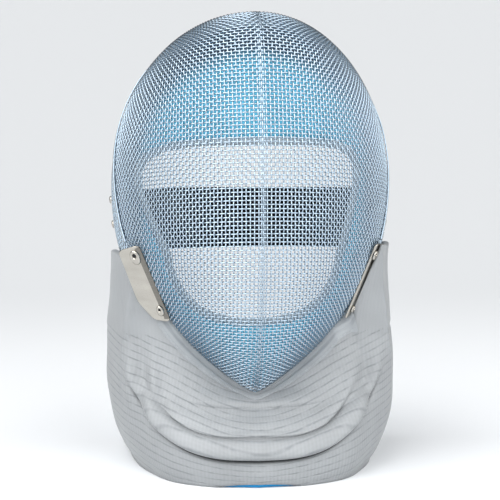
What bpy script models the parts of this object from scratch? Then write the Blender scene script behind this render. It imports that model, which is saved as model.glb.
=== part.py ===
"""A fencing mask standing on its bib: wire mesh shells, steel fittings, cloth bib, padding and strap.

Metres, +Z up, face towards -Y. The floor is z = 0, and the mask is nearly symmetric about x = 0.
"""

import math

import bmesh
import bpy
from mathutils import Matrix, Vector

# The dome, the smooth surface that both wire meshes follow. Heights are above the floor.
CROWN_Z = 0.351  # top of the crown
WIDE_Z = 0.214  # the widest and foremost height
CHIN_Z = 0.056  # where the jaw closes, under the bib
HALF_WIDTH = 0.1075
CROWN_REACH = 0.062  # how far the crown's top lies in front of the widest line
FACE_REACH = 0.135  # ridge of the face in front of the widest line
CHIN_REACH = 0.046
BACK_REACH = 0.120
FACE_ROUNDNESS = 1.7  # superellipse exponent in plan: under 2 gives the centre ridge
BACK_ROUNDNESS = 2.2
JAW_START, JAW_TAPER = 2.2, 0.75  # how late and how bluntly the width closes towards the chin
CHIN_START = 2.7  # how late the ridge falls back towards the chin

# The middle of the bounding box, which the finished mask is moved to the origin by.
CENTRE_X, CENTRE_Y = 0.00045, -0.0311

MESH_WALL = 0.0020  # two crossing wires of 1 mm
GAP = 0.0003  # clearance between touching pieces
INNER_GAP = 0.0009  # clearance added inside the mesh, whose flat faces lie further in than the dome
DOME_ROWS, DOME_COLUMNS = 20, 40

# The lines that bound the two meshes.
SEAM_Z, SEAM_Y, SEAM_LEAN = 0.174, -0.040, 0.40  # the lean is the way back per metre of height
EDGE_Y = -0.058  # plane of the V-shaped edge that shows
TUCK_Y = -0.050  # plane of the front mesh's own edge, under the bib
REAR_Z, REAR_Y, REAR_LEAN = 0.150, 0.062, 0.05  # back edge of the rear mesh
REAR_LOW_Z = 0.151  # lower edge of the rear mesh, under the bib

STRIP_WALL = 0.0010
RIM_STRIP_WIDTH = 0.0040
REAR_STRIP_WIDTH = 0.0060
STRIP_SWEEP, STRIP_STEPS = math.radians(112), 36  # to each side of the crown

# The bib hangs in columns from its top edge to its hem. share is 0 at the front and 1 at the back end.
BIB_WALL = 0.0025
EDGE_SHARE = 0.5  # share of the columns that start on the V-shaped edge
EDGE_MIDDLE_Z, EDGE_SWEEP = 0.150, math.radians(103)  # the edge as seen from this height on its plane
EAR_BACK_Y = 0.060
EAR_STAND_OFF = 0.0025  # how far the top edge stands off the mesh at the ears
HEM_BAND = 0.0025
LINING_SHOW, LINING_SHOW_HALF = 0.0030, 0.034  # how far the hem lifts at the front, where the lining shows
# Share, and x and y of the hem on the floor.
HEM = (
    (0.00, 0.000, -0.098),
    (0.12, 0.036, -0.091),
    (0.25, 0.0635, -0.074),
    (0.40, 0.0795, -0.046),
    (0.50, 0.088, -0.022),
    (0.70, 0.094, 0.018),
    (1.00, 0.094, 0.058),
)
RIGHT_FLARE, RIGHT_TUCK = 0.004, 0.005  # the right side hangs wider low down and narrower higher up
# Share, how the column leaves the top edge (x, y, drop) and how it comes to the hem (x, y, rise).
DRAPE = (
    (0.00, 0.000, -0.026, 0.012, 0.000, -0.005, 0.022),
    (0.12, 0.004, -0.018, 0.019, 0.004, -0.009, 0.026),
    (0.25, 0.011, -0.002, 0.030, 0.010, -0.013, 0.030),
    (0.40, 0.014, 0.019, 0.043, 0.023, -0.012, 0.042),
    (0.50, 0.004, 0.014, 0.046, 0.029, -0.010, 0.044),
    (0.70, -0.001, 0.002, 0.046, 0.032, -0.004, 0.042),
    (1.00, 0.002, 0.000, 0.046, 0.018, 0.002, 0.042),
)
# Height at the centre, rise at a distance to each side, power of the rise, least share down the column,
# length and height of the roll above, depth of the crease, and where it starts and ends to fade.
FOLDS = (
    (0.056, 0.004, 0.046, 2.0, 0.16, 0.012, 0.0015, 0.0008, 0.026, 0.055),
    (0.039, 0.027, 0.071, 2.4, 0.34, 0.016, 0.0030, 0.0018, 0.046, 0.076),
    (0.022, 0.038, 0.085, 3.3, 0.52, 0.017, 0.0060, 0.0032, 0.058, 0.090),
)
BIB_COLUMNS = 42
BIB_ROWS = (2, 3, 4, 5, 4)  # rows between the top edge, the trim, the folds and the hem
FOLD_SPACING = 0.07  # least share of a column between two folds

TRIM_WALL = 0.0012
TRIM_WIDTH, TRIM_COLUMNS = 0.007, 7  # the trim ends at the lower ends of the brackets

LINING_WALL = 0.0015

# The padding ring.
PAD_MIDDLE_Z = 0.192
PAD_REACH, PAD_CURVE = 0.058, 3.2  # front reach at the centre, and how it falls back towards the sides
PAD_HALF_THICK = 0.0085
PAD_TOP, PAD_BOTTOM, PAD_SIDE = 0.138, 0.104, 0.112
OPENING_UP, OPENING_DOWN = 0.060, 0.070
OPENING_HALF, OPENING_TAPER, TAPER_END = 0.0685, 0.24, -0.022
OPENING_SQUARE_UP, OPENING_SQUARE_DOWN = 4.5, 2.7
PAD_STEPS = 38
# Share of the ring's width from the opening outwards, and share of half its thickness.
PAD_SECTION = ((0, -0.45), (0, 0.45), (0.08, 0.85), (0.3, 1), (0.75, 1), (0.96, 0.55))
BINDING_RADIUS = 0.0030

# The back strap.
STRAP_WALL = 0.0018
STRAP_LOW_Z, STRAP_HIGH_Z = 0.157, 0.207
STRAP_END_Y, STRAP_EDGE_Y, STRAP_BACK_Y = 0.040, 0.060, 0.074
STRAP_SPAN = 0.72  # share of its half that crosses the open back

# The ear brackets and their rivets.
BRACKET_WALL = 0.0012
BRACKET_WIDTH, BRACKET_FOOT = 0.0175, 0.0085
BRACKET_TOP_Z, BRACKET_LOW_Z = 0.179, 0.120
BRACKET_TOP_HALF, BRACKET_LOW_HALF = 0.0885, 0.0640  # distance of its front edge from the middle
BRACKET_CORNER = 0.004
# Name, side, turn of the plate from facing ahead in degrees, distance out, radius of the upper eyelet and
# its distance from the front edge.
BRACKETS = (
    ("left", -1, 30, 0.0059, 0.0046, 0.0062),
    ("right", 1, 57, 0.0030, 0.0027, 0.0036),
)
RIGHT_SET_BACK, RIGHT_SET_OUT = 0.007, 0.0040  # the cloth lies over most of the right bracket
EYELET_HOLE, EYELET_HEIGHT = 0.0015, 0.0013
EYELET_DROP, RIVET_SHARE, RIVET_SIDE, RIVET_HOLE = 0.0085, 0.84, 0.0046, 0.0009  # places on the plate
EYELET_LOW_SHARE = 0.72  # size of the lower eyelet
# Name, height on the rear mesh and distance behind the widest line.
SIDE_RIVETS = (("upper", 0.205, 0.004), ("lower", 0.186, 0.004))
SIDE_RIVET_RADIUS, SIDE_RIVET_HEIGHT = 0.0030, 0.0016


def blend(a, b, share):
    return a + (b - a) * share


def clamp(value, low=0.0, high=1.0):
    return max(low, min(high, value))


def ease(share):
    """Smooth step from 0 to 1."""
    share = clamp(share)
    return share * share * (3 - 2 * share)


def read_table(table, column, at):
    """The column's value at a place along the table's first column, on a smooth curve through the rows."""
    at = clamp(at, table[0][0], table[-1][0])
    low = max(i for i in range(len(table) - 1) if table[i][0] <= at)
    span = table[low + 1][0] - table[low][0]

    def slope(i):
        before, after = table[max(i - 1, 0)], table[min(i + 1, len(table) - 1)]
        return (after[column] - before[column]) / (after[0] - before[0])

    share = (at - table[low][0]) / span
    return (
        table[low][column] * (1 + 2 * share) * (1 - share) ** 2
        + slope(low) * span * share * (1 - share) ** 2
        + table[low + 1][column] * share**2 * (3 - 2 * share)
        + slope(low + 1) * span * share**2 * (share - 1)
    )


# ---------------------------------------------------------------- the dome


def dome_section(z):
    """The plan section at a height: half width, y of its middle, and reach to the front and back."""
    up = clamp((z - WIDE_Z) / (CROWN_Z - WIDE_Z))
    down = clamp((WIDE_Z - z) / (WIDE_Z - CHIN_Z))
    rounding = math.sqrt(1 - up * up)
    half = HALF_WIDTH * rounding * (1 - down**JAW_START) ** JAW_TAPER
    front = FACE_REACH * rounding - (FACE_REACH - CHIN_REACH) * down**CHIN_START
    return half, -CROWN_REACH * (1 - rounding), front, BACK_REACH * rounding


def dome_point(z, turn):
    """The dome at a height, at a turn from the ridge of the face (0) round to the back (pi)."""
    half, middle, front, back = dome_section(z)
    side, ahead = math.sin(turn), math.cos(turn)
    power, reach = (2 / FACE_ROUNDNESS, front) if ahead > 0 else (2 / BACK_ROUNDNESS, back)
    x = half * math.copysign(abs(side) ** power, side)
    y = middle - reach * math.copysign(abs(ahead) ** power, ahead)
    return Vector((x, y, z))


def dome_level(point):
    """Under 1 inside the dome, 1 on it and over 1 outside."""
    if not CHIN_Z < point.z < CROWN_Z:
        return 2.0
    half, middle, front, back = dome_section(point.z)
    ahead = middle - point.y
    power, reach = (FACE_ROUNDNESS, front) if ahead > 0 else (BACK_ROUNDNESS, back)
    return abs(point.x / half) ** power + abs(ahead / reach) ** power


def dome_normal(point):
    step = 2e-4
    slopes = []
    for axis in range(3):
        shift = Vector([step if i == axis else 0.0 for i in range(3)])
        slopes.append(dome_level(point + shift) - dome_level(point - shift))
    return Vector(slopes).normalized()


def to_dome(start, direction, out=0.0):
    """Where a ray from inside the dome meets it, moved outwards by out."""
    near, far = 0.0, 0.4
    for _ in range(40):
        middle = (near + far) / 2
        if dome_level(start + direction * middle) < 1:
            near = middle
        else:
            far = middle
    point = start + direction * near
    return point + dome_normal(point) * out if out else point


def seam_y(z):
    return SEAM_Y + SEAM_LEAN * (z - SEAM_Z)


def rear_y(z):
    return REAR_Y + REAR_LEAN * (z - REAR_Z)


def inside_mesh(point):
    """Whether a point is clear of the mesh on its inner side."""
    room = 1.2 * (MESH_WALL + INNER_GAP)
    for axis in range(3):
        step = Vector([room if i == axis else 0.0 for i in range(3)])
        if dome_level(point + step) >= 1 or dome_level(point - step) >= 1:
            return False
    return True


# ---------------------------------------------------------------- making objects


def clear_scene():
    for obj in list(bpy.data.objects):
        bpy.data.objects.remove(obj, do_unlink=True)


def make_collection(name):
    collection = bpy.data.collections.new(name)
    bpy.context.scene.collection.children.link(collection)
    return collection


def make_material(name, colour, roughness, metallic=0.0):
    material = bpy.data.materials.new(name)
    material.use_nodes = True
    shader = material.node_tree.nodes["Principled BSDF"]
    shader.inputs["Base Color"].default_value = (*colour, 1)
    shader.inputs["Roughness"].default_value = roughness
    shader.inputs["Metallic"].default_value = metallic
    return material


def link_mesh(name, mesh, collection, material):
    obj = bpy.data.objects.new(name, mesh)
    collection.objects.link(obj)
    mesh.materials.append(material)
    mesh.shade_smooth()
    mesh.set_sharp_from_angle(angle=math.radians(40))
    return obj


def grid_mesh(name, rows, around=False, closed=False):
    """Quads on rows of points. around joins the ends of each row, closed the last row to the first."""
    mesh = bpy.data.meshes.new(name)
    build = bmesh.new()
    verts = [[build.verts.new(point) for point in row] for row in rows]
    width = len(rows[0])
    for i in range(len(rows) if closed else len(rows) - 1):
        below = verts[(i + 1) % len(rows)]
        for j in range(width if around else width - 1):
            k = (j + 1) % width
            build.faces.new((verts[i][j], below[j], below[k], verts[i][k]))
    bmesh.ops.remove_doubles(build, verts=build.verts, dist=1e-6)
    build.to_mesh(mesh)
    build.free()
    return mesh


def shell_mesh(name, outer, inner):
    """A closed shell between two grids of points that lie the same way."""
    mesh = bpy.data.meshes.new(name)
    build = bmesh.new()
    faces = [[[build.verts.new(point) for point in row] for row in grid] for grid in (outer, inner)]
    high, wide = len(outer) - 1, len(outer[0]) - 1
    for i in range(high):
        for j in range(wide):
            for sheet in faces:
                build.faces.new((sheet[i][j], sheet[i + 1][j], sheet[i + 1][j + 1], sheet[i][j + 1]))
    border = [(i, 0) for i in range(high)] + [(high, j) for j in range(wide)]
    border += [(i, wide) for i in range(high, 0, -1)] + [(0, j) for j in range(wide, 0, -1)]
    for (i, j), (k, l) in zip(border, border[1:] + border[:1]):
        build.faces.new((faces[0][i][j], faces[0][k][l], faces[1][k][l], faces[1][i][j]))
    bmesh.ops.recalc_face_normals(build, faces=build.faces)
    build.to_mesh(mesh)
    build.free()
    return mesh


def add_wall(obj, thickness, outwards):
    wall = obj.modifiers.new("wall", "SOLIDIFY")
    wall.thickness = thickness
    wall.offset = 1 if outwards else -1
    wall.use_even_offset = True
    wall.use_quality_normals = True
    return wall


def strip_on_dome(name, origin, rise, width, collection, material):
    """A band of steel on the dome, where a plane through origin that rises along rise cuts it."""
    rise = rise.normalized()
    across = rise.cross(Vector((1, 0, 0))).normalized()
    rows = []
    for i in range(STRIP_STEPS + 1):
        turn = blend(-STRIP_SWEEP, STRIP_SWEEP, i / STRIP_STEPS)
        ray = Vector((math.sin(turn), 0, 0)) + rise * math.cos(turn)
        rows.append([to_dome(origin + across * width * side, ray, GAP) for side in (-0.5, 0.5)])
    obj = link_mesh(name, grid_mesh(name, rows), collection, material)
    add_wall(obj, STRIP_WALL, outwards=True)
    return obj


# ---------------------------------------------------------------- the wire meshes and their strips


def whole_dome(name):
    """The dome as a closed mesh, in rows from the chin to the crown."""
    rows = []
    for i in range(DOME_ROWS + 1):
        rise = math.sin(math.pi / 2 * (2 * i / DOME_ROWS - 1))
        z = WIDE_Z + rise * (CROWN_Z - WIDE_Z if rise > 0 else WIDE_Z - CHIN_Z)
        turns = [2 * math.pi * j / DOME_COLUMNS for j in range(DOME_COLUMNS)]
        rows.append([dome_point(z, turn) for turn in turns])
    return grid_mesh(name, rows, around=True)


def cut_dome(name, planes, kept, collection, material):
    """The part of the dome whose faces pass the test kept, cut along each plane."""
    mesh = whole_dome(name)
    build = bmesh.new()
    build.from_mesh(mesh)
    for point, normal in planes:
        everything = build.verts[:] + build.edges[:] + build.faces[:]
        bmesh.ops.bisect_plane(build, geom=everything, plane_co=point, plane_no=normal, dist=1e-5)
    left_out = [face for face in build.faces if not kept(face.calc_center_median())]
    bmesh.ops.delete(build, geom=left_out, context="FACES")
    bmesh.ops.remove_doubles(build, verts=build.verts, dist=1e-4)
    bmesh.ops.recalc_face_normals(build, faces=build.faces)
    middle = Vector((0, 0, WIDE_Z))
    if sum((f.calc_center_median() - middle).dot(f.normal) for f in build.faces) < 0:
        bmesh.ops.reverse_faces(build, faces=build.faces)
    build.to_mesh(mesh)
    build.free()
    obj = link_mesh(name, mesh, collection, material)
    add_wall(obj, MESH_WALL, outwards=False)
    return obj


def make_front_mesh(collection, material):
    seam = Vector((0, SEAM_Y - GAP / 2, SEAM_Z)), Vector((0, 1, -SEAM_LEAN))
    tuck = Vector((0, TUCK_Y, 0)), Vector((0, 1, 0))

    def kept(centre):
        return centre.y < max(seam_y(centre.z) - GAP / 2, TUCK_Y)

    return cut_dome("front_mesh", (seam, tuck), kept, collection, material)


def make_rear_mesh(collection, material):
    seam = Vector((0, SEAM_Y + GAP / 2, SEAM_Z)), Vector((0, 1, -SEAM_LEAN))
    rear = Vector((0, REAR_Y, REAR_Z)), Vector((0, 1, -REAR_LEAN))
    low = Vector((0, 0, REAR_LOW_Z)), Vector((0, 0, 1))

    def kept(centre):
        return centre.z > REAR_LOW_Z and seam_y(centre.z) + GAP / 2 < centre.y < rear_y(centre.z)

    return cut_dome("rear_mesh", (seam, rear, low), kept, collection, material)


def make_strips(collection, material):
    rim_origin = Vector((0, seam_y(WIDE_Z), WIDE_Z))
    rim_rise = Vector((0, SEAM_LEAN, 1))
    strip_on_dome("rim_strip", rim_origin, rim_rise, RIM_STRIP_WIDTH, collection, material)
    rear_origin = Vector((0, rear_y(WIDE_Z) - REAR_STRIP_WIDTH / 2, WIDE_Z))
    rear_rise = Vector((0, REAR_LEAN, 1))
    strip_on_dome("rear_edge_strip", rear_origin, rear_rise, REAR_STRIP_WIDTH, collection, material)


# ---------------------------------------------------------------- the bib


def bib_top(share, side):
    """A point of the bib's top edge, on its outer face."""
    back, out = 0.0, BIB_WALL + GAP + EAR_STAND_OFF * ease((share - 0.44) / 0.08)
    if side > 0:
        covered = ease((share - 0.27) / 0.06)
        back = RIGHT_SET_BACK * covered
        out += RIGHT_SET_OUT * covered * (1 - ease((share - 0.50) / 0.08))
    sweep = EDGE_SWEEP * min(share / EDGE_SHARE, 1)
    ray = Vector((math.sin(sweep), 0, -math.cos(sweep)))
    point = to_dome(Vector((0, EDGE_Y + back, EDGE_MIDDLE_Z)), ray)
    if share > EDGE_SHARE:
        y = blend(point.y, EAR_BACK_Y, (share - EDGE_SHARE) / (1 - EDGE_SHARE))
        point = to_dome(Vector((0, y, point.z)), Vector((1, 0, 0)))
    return point + dome_normal(point) * out


def smooth_bib(share, down, side):
    """The bib without its folds, on its outer face. down is 0 at the top edge and 1 just above the hem."""
    top = bib_top(share, side)
    x, y, drop, hem_x, hem_y, rise = (read_table(DRAPE, column, share) for column in range(1, 7))
    flare = RIGHT_FLARE * ease(share / 0.3) * (1 - ease((share - 0.5) / 0.4)) if side > 0 else 0.0
    hem = Vector((read_table(HEM, 1, share) + flare, read_table(HEM, 2, share), HEM_BAND))
    hem_x += flare
    hem.z += LINING_SHOW * max(0.0, 1 - (hem.x / LINING_SHOW_HALF) ** 2)
    if side > 0:
        x -= RIGHT_TUCK * ease((share - 0.2) / 0.15)
    above = top + Vector((x, y, -drop))
    below = hem + Vector((hem_x, hem_y, rise))
    up = 1 - down
    return top * up**3 + above * 3 * up**2 * down + below * 3 * up * down**2 + hem * down**3


def fold_rise(fold, point):
    """Height of a point above the line of a fold."""
    return point.z - fold[0] - fold[1] * (abs(point.x) / fold[2]) ** fold[3]


def fold_height(point):
    """How far the folds push the bib's face out."""
    height = 0.0
    for fold in FOLDS:
        rise, length, roll, crease = fold_rise(fold, point), fold[5], fold[6], fold[7]
        fade = 1 - ease((abs(point.x) - fold[8]) / (fold[9] - fold[8]))
        if rise > 0:
            height += roll * fade * math.sin(math.pi * min(1, rise / length) ** 0.6)
        height -= crease * fade * math.exp(-((rise / 0.003) ** 2))
    return height


def bib_point(share, down, side, out=0.0):
    point = smooth_bib(share, down, side)
    step = 0.004
    before = max(0, share - step)
    sideways = smooth_bib(min(1, share + step), down, side) - smooth_bib(before, down, side)
    if share < step:
        sideways = Vector((1, 0, 0))
    downwards = smooth_bib(share, min(1, down + step), side) - smooth_bib(share, max(0, down - step), side)
    if down > 1 - step:
        downwards = Vector((0, 0, -1))
    outwards = downwards.cross(sideways).normalized()
    point += outwards * (fold_height(point) + out)
    return Vector((point.x * side, point.y, point.z))


def fold_share(fold, share, side):
    """How far down a column the line of a fold lies."""
    near, far = 0.0, 1.0
    for _ in range(20):
        middle = (near + far) / 2
        if fold_rise(fold, smooth_bib(share, middle, side)) > 0:
            near = middle
        else:
            far = middle
    return max(near, fold[4])


def trim_share(share, side):
    """How far down a column the trim's lower edge lies."""
    start = smooth_bib(share, 0, side)
    along = (smooth_bib(min(1, share + 0.01), 0, side) - start).normalized()
    near, far = 0.0, min(0.25, fold_share(FOLDS[0], share, side) * 0.6)
    for _ in range(16):
        middle = (near + far) / 2
        if (smooth_bib(share, middle, side) - start).cross(along).length < TRIM_WIDTH:
            near = middle
        else:
            far = middle
    return near


def column_shares(share, side):
    """Where the rows of a column lie, with rows on the lines of the folds."""
    stops = [0.0, trim_share(share, side)]
    for fold in FOLDS:
        stops.append(max(fold_share(fold, share, side), stops[-1] + FOLD_SPACING))
    stops.append(1.0)
    shares = [0.0]
    for i, count in enumerate(BIB_ROWS):
        shares += [blend(stops[i], stops[i + 1], (k + 1) / count) for k in range(count)]
    return shares


def bib_layer(name, rows, reach, out, thickness, hem_z, collection, material):
    """A layer along the bib: its rows, its columns to each side, its outer face and its lower edge."""
    layers = []
    for distance in (out, out - thickness):
        columns = []
        for j in range(-reach, reach + 1):
            share, side = abs(j) * 2 / BIB_COLUMNS, 1 if j >= 0 else -1
            shares = column_shares(share, side)[rows]
            column = [bib_point(share, down, side, distance) for down in shares]
            if hem_z is not None:
                hem = column[-1].copy()
                hem.z = max(hem_z, column[-1].z - HEM_BAND - hem_z)
                column.append(hem if hem_z == 0 else Vector((hem.x, hem.y, hem_z)))
            columns.append(column)
        layers.append(columns)
    return link_mesh(name, shell_mesh(name, *layers), collection, material)


def make_bib(collection, cloth, trim_cloth, lining_cloth):
    half = BIB_COLUMNS // 2
    bib_layer("bib_outer", slice(None), half, 0, BIB_WALL, 0.0, collection, cloth)
    lining_rows = slice(BIB_ROWS[0] + 2, None)
    inside = -(BIB_WALL + 2 * GAP)
    bib_layer("bib_lining", lining_rows, half, inside, LINING_WALL, GAP, collection, lining_cloth)
    trim_rows = slice(0, BIB_ROWS[0] + 1)
    bib_layer("bib_trim", trim_rows, TRIM_COLUMNS, GAP + TRIM_WALL, TRIM_WALL, None, collection, trim_cloth)


# ---------------------------------------------------------------- the padding and the strap


def pad_y(x):
    return -PAD_REACH + PAD_CURVE * x * x


def opening_reach(way):
    """How far the edge of the face opening lies from its middle, in a direction counted from straight up."""
    near, far = 0.0, 0.15
    for _ in range(30):
        middle = (near + far) / 2
        side, rise = middle * math.sin(way), middle * math.cos(way)
        power = OPENING_SQUARE_UP if rise > 0 else OPENING_SQUARE_DOWN
        tall = OPENING_UP if rise > 0 else OPENING_DOWN
        half = OPENING_HALF + OPENING_TAPER * max(rise, TAPER_END)
        if abs(side / half) ** power + abs(rise / tall) ** power < 1:
            near = middle
        else:
            far = middle
    return near


def pad_reach(way, back):
    """How far the padding reaches from the opening's middle, at a distance behind its middle face."""
    side, rise = math.sin(way), math.cos(way)
    tall = PAD_TOP if rise > 0 else PAD_BOTTOM
    near, far = 0.02, ((abs(side) / PAD_SIDE) ** 2 + (abs(rise) / tall) ** 2) ** -0.5
    for _ in range(30):
        middle = (near + far) / 2
        x = middle * side
        if inside_mesh(Vector((x, pad_y(x) + back, PAD_MIDDLE_Z + middle * rise))):
            near = middle
        else:
            far = middle
    return near


def make_pad(collection, cloth, binding_cloth):
    pad_rows, binding_rows = [], []
    section = list(PAD_SECTION) + [(across, -thick) for across, thick in reversed(PAD_SECTION[2:])]
    for i in range(PAD_STEPS):
        way = 2 * math.pi * i / PAD_STEPS
        inner = opening_reach(way)
        start = inner + 2 * BINDING_RADIUS + GAP
        row = []
        for across, thick in section:
            reach = blend(start, pad_reach(way, thick * PAD_HALF_THICK), across)
            side = reach * math.sin(way)
            back = thick * PAD_HALF_THICK
            row.append(Vector((side, pad_y(side) + back, PAD_MIDDLE_Z + reach * math.cos(way))))
        pad_rows.append(row)
        row = []
        for k in range(6):
            reach = inner + BINDING_RADIUS * (1 + math.cos(k * math.pi / 3))
            side = reach * math.sin(way)
            back = BINDING_RADIUS * math.sin(k * math.pi / 3)
            row.append(Vector((side, pad_y(side) + back, PAD_MIDDLE_Z + reach * math.cos(way))))
        binding_rows.append(row)
    for name, rows, material in (
        ("head_pad", pad_rows, cloth),
        ("pad_binding", binding_rows, binding_cloth),
    ):
        mesh = grid_mesh(name, rows, around=True, closed=True)
        face_outwards(link_mesh(name, mesh, collection, material))


def face_outwards(obj):
    build = bmesh.new()
    build.from_mesh(obj.data)
    if build.calc_volume(signed=True) < 0:
        bmesh.ops.reverse_faces(build, faces=build.faces)
    build.to_mesh(obj.data)
    build.free()


def strap_point(share, z):
    """The strap's outer face: on the inside of the rear mesh at its ends, free across the open back."""
    side = math.copysign(1, share)
    share = abs(share)
    y = blend(STRAP_EDGE_Y, STRAP_END_Y, max(0, share - STRAP_SPAN) / (1 - STRAP_SPAN))
    point = to_dome(Vector((0, y, z)), Vector((1, 0, 0)), -(MESH_WALL + INNER_GAP + GAP))
    if share < STRAP_SPAN:
        across = share / STRAP_SPAN
        point.x *= across
        point.y += (STRAP_BACK_Y - STRAP_EDGE_Y) * (1 - across**2.5)
    return Vector((point.x * side, point.y, z))


def make_strap(collection, material):
    heights = [blend(STRAP_LOW_Z, STRAP_HIGH_Z, i / 2) for i in range(3)]
    rows = [[strap_point(j / 14, z) for j in range(-14, 15)] for z in heights]
    strap = link_mesh("back_strap", grid_mesh("back_strap", rows), collection, material)
    add_wall(strap, STRAP_WALL, outwards=False)


# ---------------------------------------------------------------- the brackets and the rivets


def plate_axes(side, turn, out):
    """The plate's frame: its upper front corner, along its front edge, across it, and its outward face."""
    top = Vector((side * BRACKET_TOP_HALF, EDGE_Y, BRACKET_TOP_Z))
    low = Vector((side * BRACKET_LOW_HALF, EDGE_Y, BRACKET_LOW_Z))
    along = (low - top).normalized()
    across = Vector((side * math.cos(turn), math.sin(turn), 0))
    face = (along.cross(across) * side).normalized()
    across = face.cross(along) * side
    return top + face * out, along, across, face, (low - top).length


def plate_outline(length):
    """The plate's outline, distance along its front edge and distance across."""
    corner, wide = BRACKET_CORNER, BRACKET_WIDTH
    corners = [
        (0, 0),
        (-0.044 * wide, wide),
        (0.64 * length, 0.94 * wide),
        (0.90 * length, BRACKET_FOOT),
        (0.96 * length, 0),
    ]
    outline = []
    for i, (a, b) in enumerate(corners):
        before, after = Vector(corners[i - 1]), Vector(corners[(i + 1) % len(corners)])
        here = Vector((a, b))
        start = here + (before - here).normalized() * corner
        end = here + (after - here).normalized() * corner
        for k in range(5):
            s = k / 4
            outline.append(start * (1 - s) ** 2 + here * 2 * s * (1 - s) + end * s**2)
    return outline


def turned(name, profile, steps, matrix, collection, material):
    """A solid turned from a closed profile of (radius, height) about its own Z axis."""
    mesh = bpy.data.meshes.new(name)
    build = bmesh.new()
    verts = [build.verts.new((radius, 0, height)) for radius, height in profile]
    for i, vert in enumerate(verts[:-1] if profile[0][0] == 0 else verts):
        build.edges.new((vert, verts[(i + 1) % len(verts)]))
    build.to_mesh(mesh)
    build.free()
    obj = link_mesh(name, mesh, collection, material)
    screw = obj.modifiers.new("turning", "SCREW")
    screw.steps = screw.render_steps = steps
    screw.use_normal_flip = True
    screw.use_merge_vertices = True
    screw.merge_threshold = 1e-5
    screw.use_smooth_shade = True
    obj.matrix_world = matrix
    return obj


def place_on(point, face):
    """The matrix that stands something on a point, facing the given way."""
    return Matrix.Translation(point) @ face.to_track_quat("Z", "Y").to_matrix().to_4x4()


def make_brackets(collection, steel):
    for name, side, turn, out, radius, first in BRACKETS:
        corner, along, across, face, length = plate_axes(side, math.radians(turn), out)
        mesh = bpy.data.meshes.new("bracket_" + name)
        build = bmesh.new()
        outline = plate_outline(length)
        verts = [build.verts.new(corner + along * a + across * b) for a, b in outline]
        plate_face = build.faces.new(verts)
        plate_face.normal_update()
        if plate_face.normal.dot(face) < 0:
            plate_face.normal_flip()
        build.to_mesh(mesh)
        build.free()
        plate = link_mesh("bracket_" + name, mesh, collection, steel)
        add_wall(plate, BRACKET_WALL, outwards=True)
        lower = radius * EYELET_LOW_SHARE
        places = (
            ("bracket_eyelet_", EYELET_DROP, first, radius, EYELET_HOLE),
            ("bracket_rivet_", RIVET_SHARE * length, RIVET_SIDE, lower, RIVET_HOLE),
        )
        for kind, a, b, outer, hole in places:
            base = corner + along * a + across * b + face * (BRACKET_WALL + GAP)
            profile = (
                (hole, 0),
                (outer, 0),
                (outer, EYELET_HEIGHT * 0.35),
                (blend(hole, outer, 0.75), EYELET_HEIGHT * 0.9),
                (blend(hole, outer, 0.45), EYELET_HEIGHT),
                (blend(hole, outer, 0.15), EYELET_HEIGHT * 0.8),
                (hole, EYELET_HEIGHT * 0.4),
            )
            turned(kind + name, profile, 12, place_on(base, face), collection, steel)


def make_side_rivets(collection, steel):
    for label, side in (("left", -1), ("right", 1)):
        for name, z, y in SIDE_RIVETS:
            point = to_dome(Vector((0, y, z)), Vector((side, 0, 0)))
            normal = dome_normal(point)
            profile = [(0, 0), (SIDE_RIVET_RADIUS, 0)]
            for k in range(1, 4):
                turn = math.pi / 2 * k / 4
                profile.append((SIDE_RIVET_RADIUS * math.cos(turn), SIDE_RIVET_HEIGHT * math.sin(turn)))
            profile.append((0, SIDE_RIVET_HEIGHT))
            base = point + normal * GAP
            turned(f"side_rivet_{name}_{label}", profile, 10, place_on(base, normal), collection, steel)


# ---------------------------------------------------------------- the whole


def build():
    clear_scene()
    mask = make_collection("fencing_mask")
    wire = make_material("stainless steel wire", (0.62, 0.66, 0.70), 0.30, 1)
    steel = make_material("polished steel", (0.72, 0.71, 0.69), 0.18, 1)
    bib_cloth = make_material("ribbed conductive cloth", (0.50, 0.53, 0.55), 0.8)
    trim_cloth = make_material("woven edge tape", (0.45, 0.48, 0.51), 0.85)
    lining_cloth = make_material("blue lining cloth", (0.03, 0.22, 0.45), 0.85)
    pad_cloth = make_material("blue padded cloth", (0.12, 0.42, 0.60), 0.85)
    binding_cloth = make_material("grey binding tape", (0.50, 0.52, 0.52), 0.85)
    elastic = make_material("black elastic webbing", (0.012, 0.018, 0.035), 0.8)
    make_front_mesh(mask, wire)
    make_rear_mesh(mask, wire)
    make_strips(mask, steel)
    make_bib(mask, bib_cloth, trim_cloth, lining_cloth)
    make_brackets(mask, steel)
    make_side_rivets(mask, steel)
    make_pad(mask, pad_cloth, binding_cloth)
    make_strap(mask, elastic)
    for obj in mask.objects:
        obj.matrix_world = Matrix.Translation((-CENTRE_X, -CENTRE_Y, 0)) @ obj.matrix_world


build()
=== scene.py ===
"""A fencing mask standing on its bib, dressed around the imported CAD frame, as an add-on that runs as a script.

Metres, +Z up, face towards -Y. Shapes are worked out in the CAD model's own frame, whose symmetry plane is
x = 0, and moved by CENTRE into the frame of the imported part.
"""

import math
from collections import namedtuple

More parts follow.
